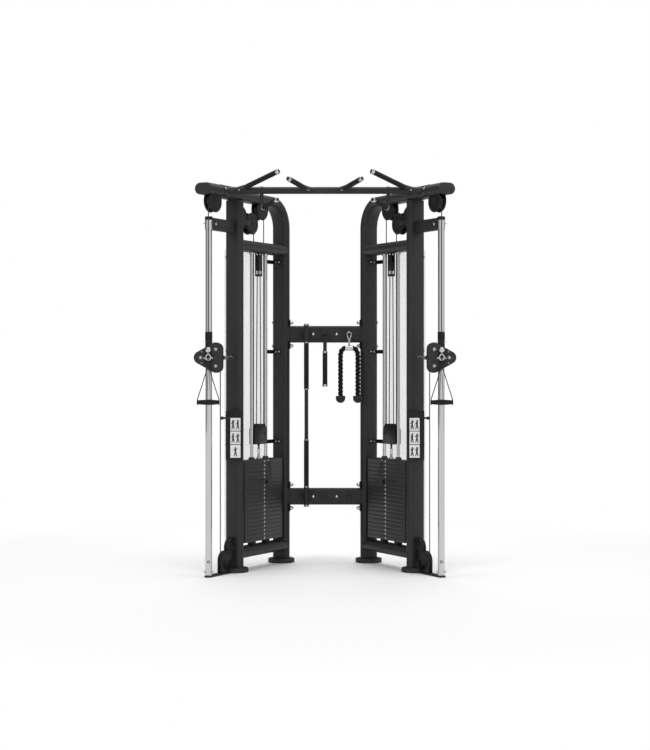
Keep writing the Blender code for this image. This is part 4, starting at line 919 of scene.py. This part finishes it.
flange = [(0, -grip_half), (0.0150, -grip_half), (0.0165, -grip_half + 0.0015), (0.0165, -grip_half + 0.005),
          (0.0128, -grip_half + 0.0062)]
grip_profile = list(flange)
rib_gap = (2 * grip_half - 0.016) / grip_ribs
for i in range(grip_ribs):
    x = -grip_half + 0.008 + rib_gap * i
    swell = 0.0112 + 0.0046 * math.cos(math.pi * (x + rib_gap / 2) / (2 * grip_half)) ** 0.9
    grip_profile += [(swell, x), (swell, x + rib_gap * 0.55), (swell - 0.0006, x + rib_gap * 0.68),
                     (swell - 0.0006, x + rib_gap * 0.92)]
grip_profile += [(r, -h) for r, h in flange[::-1]]
for word, side in sides:
    at = facing(side)
    body = f"{word}_handle"
    loop = pear(at(0, ball_y, 0), 1.3108, 0.0062, 1.2955, 0.0148)
    piece(f"{word}_snap_link", along_path(loop, ring(0.0042, 14), to_back, True), chrome, body, (body,))
    gate = rod(at(0.0138, ball_y, 1.3010), at(0.0235, ball_y - 0.001, 1.2910), 0.0028, 16, 0.001)
    piece(f"{word}_snap_gate", gate, chrome, body)
    cross_pin = lathe(at(0, ball_y + 0.0075, 1.2915), to_right, shackle_pin, 24)
    piece(f"{word}_shackle_pin", cross_pin, chrome, body)
    tie_loop = [at(0.0042 * a, ball_y, 1.2635 + 0.0255 * b) for a, b in ring(1.0, 28)]
    piece(f"{word}_strap_loop", along_path(tie_loop, loop_section, to_back, True), webbing, body)
    path = smooth_path([at(x, ball_y, z) for x, z in strap_marks], 5)
    piece(f"{word}_handle_strap", along_path(path, strap_section, to_back), webbing, body)
    keeper = slab(edge_on(at), keeper_outline, ball_y - 0.0132, ball_y + 0.0132)
    piece(f"{word}_strap_keeper", keeper, webbing, body, ease=0.001)
    piece(f"{word}_handle_grip", lathe(at(0, ball_y, grip_z), to_right, grip_profile, 40), grip_rubber, body)

# Cables: black nylon-coated wire rope. Each tower has one line: carriage, overhead tube, stack, clevis,
# stack, front upright, bottom pulleys and back up to the carriage.
cable_black = surface("coated wire rope", (0.010, 0.010, 0.011), 0.45, grain=1600, bump=0.2)
cable_section = ring(0.003, 12)
small_r = 0.017
clevis_reach = 0.028


def wrap(spot, radius, start, end, steps=18):
    u, n, z = spot
    turns = [math.radians(start + (end - start) * i / steps) for i in range(steps + 1)]
    return [(u + radius * math.cos(t), n, z + radius * math.sin(t)) for t in turns]


def run(a, b, steps=40):
    return [tuple(a[k] + (b[k] - a[k]) * i / steps for k in range(3)) for i in range(steps + 1)]


low_wheel = wheels["bottom_pulley_lower"]
high_wheel = wheels["bottom_pulley_upper"]
slope = math.degrees(math.atan2(over_upright[2] - middle[2], over_upright[0] - middle[0]))
lean = math.degrees(math.atan2(low_wheel[2] - high_wheel[2], low_wheel[0] - high_wheel[0]))
overhead = wrap(front_top, path_r, 180, 90) + wrap(rear_top, path_r, 90, 0)
down = wrap(middle, path_r, 0, slope - 90) + wrap(over_upright, path_r, slope - 90, 180)
down += wrap(high_wheel, path_r, 0, lean + 90) + wrap(low_wheel, path_r, lean + 90, -180)
for word, side in sides:
    at = tower(side)
    up = at(0, 1, 0) - at(0, 0, 0)
    head = f"{word}_weight_head"
    carriage = f"{word}_carriage"

    def laid(name, spots, body=None, stands_for=()):
        made = along_path([at(*p) for p in spots], cable_section, up)
        return piece(f"{word}_cable_{name}", made, cable_black, body, stands_for)

    laid("overhead", overhead, "frame", (f"{word}_cable",))
    laid("upright", down, "frame")
    laid("clevis", wrap((stack_u, 0, saddle_z), small_r, 0, 180), "frame")
    for place, sign in fore_aft:
        laid(f"stack_turn_{place}", wrap((stack_u + sign * small_reach, 0, small_z), small_r, 0, -180), head)
    for name, start_u, n, start_z, end_u, end_z, body in (
            ("front_drop", cable_u, cable_n, top_wheel_z, cable_u, 1.4493, carriage),
            ("rise", rise_u, 0.0, base_low[1], rise_u, 1.2377, carriage),
            ("stack_rear", stack_u + fall_reach, 0.0, top_wheel_z, stack_u + fall_reach, small_z, head),
            ("stack_front", stack_u - fall_reach, 0.0, middle[2], stack_u - fall_reach, small_z, head),
            ("clevis_rear", stack_u + small_r, 0.0, saddle_z, stack_u + clevis_reach, small_z, head),
            ("clevis_front", stack_u - small_r, 0.0, saddle_z, stack_u - clevis_reach, small_z, head)):
        start = (start_u, n, start_z)
        end = (end_u, n, end_z)
        line = laid(name, run(start, end))
        tuple(at(*start))
        tuple(at(*end))
        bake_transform(line)

# Crossbeams: flat tube with well rounded edges between the rear uprights, bolted through them at each
# end, with straight rubber-tipped pegs and a small shelf for the long bar.
rear_y = rear_u * plan_s + column_plane
rear_x = column_x - rear_u * plan_c
rear_edge = tube_flat * plan_s + tube_deep / 2
beam_y = rear_y - 0.014
beam_face = beam_y - 0.025
beam_end = rear_x - 0.030
hang_y = beam_face - 0.060
long_x = -0.1175
beam_outline = oblong(-0.025, -0.0535, 0.025, 0.0535, 0.0245, 8)
flange_outline = oblong(-0.030, -0.0935, 0.028, 0.0935, 0.010, 5)
nut_profile = soften([(0, 0.020), (0.0045, 0.020), (0.0080, 0.0155), (0.0118, 0.0125), (0.0118, 0.003),
                      (0.0142, 0.003), (0.0142, 0.0), (0, 0.0)], 0.001, False)
peg_tip = soften([(0, 0.0), (0.0066, 0.0), (0.0066, 0.010), (0.0040, 0.0135), (0, 0.0135)], 0.0015, False)
peg_base = soften([(0, 0.0), (0.013, 0.0), (0.011, 0.005), (0, 0.005)], 0.001, False)


def level(x, y, z):
    return Vector((x, y, z))


for word, z in (("upper", 1.451), ("lower", 0.420)):
    def end_on(p, q, h):
        return Vector((h, beam_y + p, z + q))
    piece(f"{word}_crossbeam_tube", slab(end_on, beam_outline, -beam_end, beam_end), powder_coat,
          stands_for=(f"{word}_crossbeam",))
    for end, sign in sides:
        lo, hi = sorted((sign * (rear_x - rear_edge - 0.0045), sign * (rear_x - rear_edge + 0.0005)))
        piece(f"{word}_beam_flange_{end}", slab(end_on, flange_outline, lo, hi), powder_coat, ease=0.0012)
        for k, dz in enumerate((-0.075, 0.075)):
            seat = Vector((sign * (rear_x - rear_edge - 0.0043), rear_y - tube_flat * plan_c, z + dz))
            nut = lathe(seat, Vector((-sign, 0, 0)), nut_profile, 24)
            piece(f"{word}_flange_nut_{end}_{k}", nut, chrome)
            seat = Vector((sign * (rear_x + rear_edge - 0.0006), rear_y + tube_flat * plan_c, z + dz))
            bolt(f"{word}_flange_bolt_{end}_{k}", seat, Vector((sign, 0, 0)), 0.0100, 0.0075, stem_steel)
    for k, x in enumerate((-0.074, 0.074)):
        bolt(f"{word}_beam_bolt_{k}", Vector((x, beam_face + 0.0003, z)), to_front, 0.0092, 0.006, chrome)
    for k, x in enumerate((-0.154, 0.0, 0.152)):
        peg = rod(Vector((x, beam_face, z)), Vector((x, hang_y - 0.0175, z)), 0.0058, 28, 0.002)
        piece(f"{word}_peg_{k}", peg, powder_coat)
        tip = lathe(Vector((x, hang_y - 0.0045, z)), to_front, peg_tip, 28)
        piece(f"{word}_peg_tip_{k}", tip, bumper_rubber)
        base = lathe(Vector((x, beam_face + 0.0003, z)), to_front, peg_base, 32)
        piece(f"{word}_peg_base_{k}", base, powder_coat)
    shelf = block(level, (long_x - 0.010, hang_y + 0.0163, z - 0.012), (long_x + 0.010, beam_face + 0.001, z))
    piece(f"{word}_bar_shelf", shelf, powder_coat, ease=0.0015)

# Chin-up bar: a straight tube that runs into the inner faces of the overhead tubes, with six ribbed rubber
# grips. Four rise forward out of a rounded elbow bolted to the bar's front, and two reach forward from
# hanging posts.
chin_y = 0.120 * plan_s + column_plane
chin_z = 2.2945
chin_r = 0.0213
chin_half = 0.598
grip_tube_r = 0.0150
grip_r = 0.0154
cap_r = 0.0155
cap_long = 0.020
chin_grips = (("outer", (0.515, 0.0, 0.0), (0.2707, -0.140, 0.0995), 0.042),
              ("inner", (0.095, 0.0, 0.0), (0.2177, -0.165, 0.0525), 0.042),
              ("hanging", (0.3777, 0.0, -0.1068), (0.2794, -0.140, -0.0689), 0.020))
post_button = [(0, 0.0), (0.0105, 0.0), (0.0105, 0.0016), (0.0080, 0.0026), (0, 0.0026)]


def ribs_along(radius, start, count, pitch, land):
    out = []
    for i in range(count):
        h = start + i * pitch
        out += [(radius, h), (radius, h + land), (radius - 0.0006, h + land + 0.0006),
                (radius - 0.0006, h + pitch - 0.0004)]
    return out


bar = rod(Vector((-chin_half, chin_y, chin_z)), Vector((chin_half, chin_y, chin_z)), chin_r, 40, 0.001)
piece("chin_bar_tube", bar, powder_coat, stands_for=("chin_up_bar",))
for word, side in sides:
    at = tower(side)
    out = at(0, 0.84, 0.54) - at(0, 0, 0)
    bolt(f"{word}_chin_bolt", at(0.104, 0.0535, 2.3020), out, 0.0095, 0.0060, chrome)
    for name, root, tip, stub in chin_grips:
        root, tip = [Vector((side * x, chin_y + y, chin_z + z)) for x, y, z in (root, tip)]
        along = (tip - root).normalized()
        long = (tip - root).length
        if name == "hanging":
            top = Vector((root.x, chin_y, chin_z + chin_r - 0.001))
            post = rod(top, root - up_line * 0.0150, 0.0115, 32, 0.003)
            piece(f"{word}_hanging_post", post, powder_coat)
            piece(f"{word}_hanging_post_top", lathe(top, up_line, post_button, 32), powder_coat)
            piece(f"{word}_hanging_neck", rod(root, root + along * (stub + 0.004), 0.0105, 28), powder_coat)
            washer = oblong(0.0100, stub - 0.005, 0.0165, stub, 0.001)
            piece(f"{word}_hanging_washer", lathe(root, along, washer, 36), chrome)
        else:
            marks = [root + Vector((0, -0.022, -0.009)), root + Vector((0, -0.024, 0.004)),
                     root + along * 0.034 + Vector((0, -0.006, 0.003)), root + along * (stub + 0.012)]
            elbow = along_path(smooth_path(marks, 8), ring(grip_tube_r, 28), Vector((side, 0, 0)))
            piece(f"{word}_{name}_grip_tube", elbow, powder_coat)
            seat = root + Vector((side * (-0.004 if name == "outer" else 0.004), -0.0372, -0.0015))
            bolt(f"{word}_{name}_elbow_bolt", seat, to_front, 0.0052, 0.003, stem_steel)
        cap_low = long - cap_long
        profile = [(0, stub), (grip_r - 0.0009, stub), (grip_r, stub + 0.003)]
        profile += ribs_along(grip_r, stub + 0.004, int((cap_low - stub - 0.008) / 0.004), 0.004, 0.0022)
        profile += [(grip_r, cap_low), (0, cap_low)]
        piece(f"{word}_{name}_grip_sleeve", lathe(root, along, profile, 36), grip_rubber)
        cap = soften([(0, cap_low), (cap_r, cap_low), (cap_r, long - 0.0025), (0.0130, long - 0.0006),
                      (0, long - 0.0006)], 0.0015, False)
        piece(f"{word}_{name}_grip_cap", lathe(root, along, cap, 40), chrome)
        plug = [(0, long - 0.001), (0.0100, long - 0.001), (0.0090, long), (0, long)]
        piece(f"{word}_{name}_grip_plug", lathe(root, along, plug, 32), black_plastic)

# Long bar: a dark steel shaft with plain end sleeves and two ribbed rubber grips between thin chrome rings.
# It hangs upright by a lug on its back that rests on the upper beam's shelf.
bar_grip_r = 0.0156
bar_rib_pitch = 0.005
bar_rib_land = 0.003
long_end_r = 0.0150
body = "long_bar"
centre = Vector((long_x, hang_y, 0))


def stub_profile(radius, low, high, round_off, steps=3):
    return soften([(0, low), (radius, low), (radius, high), (0, high)], round_off, False, steps)


def bar_grip(low, high, count, end_r):
    ribs = ribs_along(bar_grip_r, low + 0.003, count, bar_rib_pitch, bar_rib_land)
    return ([(0, low), (end_r, low), (bar_grip_r, low + 0.002)] + ribs
            + [(bar_grip_r, high - 0.002), (end_r, high), (0, high)])


shaft = rod(centre + up_line * 0.480, centre + up_line * 1.400, 0.0121, 36)
piece("long_bar_shaft", shaft, powder_coat, body, (body,))
for name, low, high in (("low", 0.3725, 0.4850), ("high", 1.3930, 1.5060)):
    sleeve = lathe(centre, up_line, stub_profile(0.0163, low, high, 0.0015, 5), 40)
    piece(f"long_bar_sleeve_{name}", sleeve, powder_coat, body)
for name, low, high in (("low", 0.490, 0.780), ("high", 1.106, 1.394)):
    grip = bar_grip(low, high, int((high - low - 0.008) / bar_rib_pitch), long_end_r)
    piece(f"long_bar_grip_{name}", lathe(centre, up_line, grip, 36), grip_rubber, body)
for k, (z, r) in enumerate(((0.4845, 0.0169), (0.7800, 0.0162), (1.1000, 0.0162), (1.3940, 0.0169))):
    trim = oblong(0.0115, z, r, z + 0.0055, 0.001)
    piece(f"long_bar_ring_{k}", lathe(centre, up_line, trim, 40), chrome, body)
for name, low, high in (("low", 0.3602, 0.3735), ("high", 1.5050, 1.5158)):
    cap = lathe(centre, up_line, stub_profile(0.0164, low, high, 0.003), 40)
    piece(f"long_bar_cap_{name}", cap, stem_steel, body)
lug = block(level, (long_x - 0.007, hang_y + 0.008, 1.4513), (long_x + 0.007, hang_y + 0.034, 1.467))
piece("long_bar_lug", lug, powder_coat, body, ease=0.0015)

# Short bar: a single handle hung by its eye on the middle peg, a plain dark neck above a ribbed rubber grip
# with a chrome ring and end cap.
short_end_r = 0.0149
body = "short_bar"
centre = Vector((0, hang_y, 0))
neck = rod(centre + up_line * 1.330, centre + up_line * 1.4385, 0.0118, 36, 0.003)
piece("short_bar_neck", neck, powder_coat, body, (body,))
eye_loop = [Vector((a, hang_y, 1.4498 + b)) for a, b in ring(0.0105, 36)]
piece("short_bar_eye", along_path(eye_loop, ring(0.003, 12), to_back, True), powder_coat, body)
grip = bar_grip(1.132, 1.331, 38, short_end_r)
piece("short_bar_grip", lathe(centre, up_line, grip, 36), grip_rubber, body)
for name, low, high in (("cap", 1.118, 1.133), ("ring", 1.331, 1.342)):
    trim = lathe(centre, up_line, stub_profile(0.0163, low, high, 0.0025), 40)
    piece(f"short_bar_{name}", trim, chrome, body)

# Triceps rope: three-strand black rope through a chrome clamp tube under a snap link, each end moulded into
# a rubber half ball with its flat side up.
rope_fibre = surface("twisted rope", (0.011, 0.011, 0.012), 0.82, grain=700, bump=0.6, depth=0.001,
                     shine=0.25)
body = "triceps_rope"
rope_x = 0.1525
rope_z = 1.362
rope_half = 0.0545
strand_r = 0.0078
strand_out = 0.0087
lay_turn = 2 * math.pi / 0.0735
ball_top = 1.045
rope_marks = [(0.0005, rope_z), (0.016, rope_z), (0.0285, rope_z - 0.001), (0.0400, rope_z - 0.0075),
              (0.0490, rope_z - 0.0200), (0.0535, rope_z - 0.0370), (rope_half, rope_z - 0.060)]
rope_marks += [(rope_half, z) for z in (1.26, 1.22, 1.18, 1.14, 1.10, 1.055)]
swivel = soften([(0, 1.373), (0.0090, 1.373), (0.0090, 1.381), (0.0058, 1.385), (0.0058, 1.403),
                 (0.0074, 1.405), (0.0074, 1.414), (0.0045, 1.418), (0, 1.418)], 0.0015, False)
clamp_tube = oblong(0.0152, -0.0240, 0.0168, 0.0240, 0.0006)
half_ball = [(0, 0.0158), (0.0150, 0.0158), (0.0285, 0.0150), (0.0302, 0.0130)]
half_ball += [(0.0303 * math.cos(math.radians(a)), 0.0010 - 0.0308 * math.sin(math.radians(a)))
              for a in range(4, 90, 8)] + [(0, -0.0298)]
centre = Vector((rope_x, hang_y, 0))
link_loop = pear(centre, 1.4490, 0.0130, 1.4200, 0.0050)
piece("rope_snap_link", along_path(link_loop, ring(0.0042, 14), to_back, True), chrome, body, (body,))
piece("rope_swivel", lathe(centre, up_line, swivel, 32), chrome, body)
piece("rope_clamp_tube", lathe(Vector((rope_x, hang_y, rope_z)), to_right, clamp_tube, 44), chrome, body)
strands = []
for i in range(36):
    t = 2 * math.pi * i / 36
    off = (t + math.pi / 3) % (2 * math.pi / 3) - math.pi / 3
    r = strand_out * math.cos(off) + math.sqrt(strand_r ** 2 - (strand_out * math.sin(off)) ** 2)
    strands.append((r * math.cos(t), r * math.sin(t)))
for word, sign in sides:
    path = smooth_path([Vector((rope_x + sign * x, hang_y, z)) for x, z in rope_marks], 12)
    rings = []
    gone = 0.0
    for i, (p, up, across) in enumerate(frames_along(path, to_back)):
        if i:
            gone += (p - path[i - 1]).length
        c = math.cos(gone * lay_turn)
        s = math.sin(gone * lay_turn)
        rings.append([p + up * (a * c - b * s) + across * (a * s + b * c) for a, b in strands])
    leg = piece(f"rope_leg_{word}", skin(rings), rope_fibre, body, smooth=70)
    stop_ball = lathe(Vector((rope_x + sign * rope_half, hang_y, ball_top)), up_line, half_ball, 48)
    stop = piece(f"rope_stop_{word}", stop_ball, bumper_rubber, body)
    tuple(path[0])
    [tuple(p) for p in path]

# Placards: a black moulded board on the front of each front upright with three pale printed tiles.
# The tiles carry plain exercise figures drawn for this model, in two inks and with no lettering.
tile_pale = surface("panel tile", (0.76, 0.765, 0.77), 0.45, grain=900, bump=0.03, drift=0.03)
figure_ink = surface("figure ink", (0.012, 0.012, 0.013), 0.5, grain=900, bump=0.02)
limb_ink = surface("limb ink", (0.20, 0.055, 0.035), 0.5, grain=900, bump=0.02)
board_half = 0.052
tile_half = 0.0305
tile_inward = 0.0070
tile_gap = 0.0022
tile_z = (0.692, 0.936)
tile_step = (tile_z[1] - tile_z[0]) / 3
figure_step = 0.029
stroke = 0.0031
board_outline = oblong(-board_half, 0.678, board_half, 0.980, 0.008, 5)
face_disc = [(0, 0.0), (0.0050, 0.0), (0.0050, 0.0003), (0, 0.0003)]
for word, side in sides:
    mid = tower(side)(front_u, 0, 0)
    face = mid.y - tube_flat * plan_c - tube_deep / 2

    def on_board(p, q, h):
        return Vector((mid.x + p, h, q))
    piece(f"{word}_placard_board", slab(on_board, board_outline, face - 0.0134, face - 0.002), black_plastic,
          ease=0.0015)
    post = block(level, (mid.x - 0.012, face - 0.004, 0.74), (mid.x + 0.012, mid.y - 0.020, 0.92))
    piece(f"{word}_placard_post", post, powder_coat, ease=0.002)
    tiles = []
    inks = {"body": [], "limb": []}
    middle_x = -side * tile_inward
    left = middle_x - tile_half
    right = middle_x + tile_half
    for row, count in enumerate((1 if side < 0 else 2, 2, 2)):
        low = tile_z[0] + row * tile_step
        bottom = low + tile_gap
        top = low + tile_step - tile_gap
        tile = oblong(left, bottom, right, top, 0.002)
        tiles.append(slab(on_board, tile, face - 0.01385, face - 0.0132))
        for col in range(count):
            x = mid.x + middle_x + (col - (count - 1) / 2) * figure_step
            z = low + tile_step / 2 + 0.002
            up_swing = 0.35 + 0.45 * ((row * 2 + col) % 3)
            down_swing = up_swing * 0.6
            hands = ((0.012 * math.cos(up_swing), 0.009 + 0.014 * math.sin(up_swing)),
                     (-0.012 * math.cos(down_swing), 0.009 - 0.013 * math.sin(down_swing)))
            limbs = (("body", (0, 0.012), (0, -0.007), 1.9), ("limb", (0, 0.009), hands[0], 1.0),
                     ("limb", (0, 0.009), hands[1], 1.0), ("body", (0.001, -0.006), (0.007, -0.030), 1.2),
                     ("body", (-0.001, -0.006), (-0.007, -0.030), 1.2))
            for ink, (ax, az), (bx, bz), wide in limbs:
                go = Vector((bx - ax, 0, bz - az)).normalized() * stroke
                off = Vector((-go.z, 0, go.x)) * wide
                start = Vector((x + ax, 0, z + az)) - go * 0.6
                stop = Vector((x + bx, 0, z + bz)) + go * 0.6
                quad = [(p.x, p.z) for p in (start - off, stop - off * 0.7, stop + off * 0.7, start + off)]
                inks[ink].append(slab(lambda p, q, h: level(p, h, q), quad, face - 0.0140, face - 0.0137))
            inks["body"].append(lathe(Vector((x, face - 0.0137, z + 0.0190)), to_front, face_disc, 20))
    piece(f"{word}_placard_tiles", joined(tiles), tile_pale)
    piece(f"{word}_placard_figures", joined(inks["body"]), figure_ink)
    piece(f"{word}_placard_limbs", joined(inks["limb"]), limb_ink)
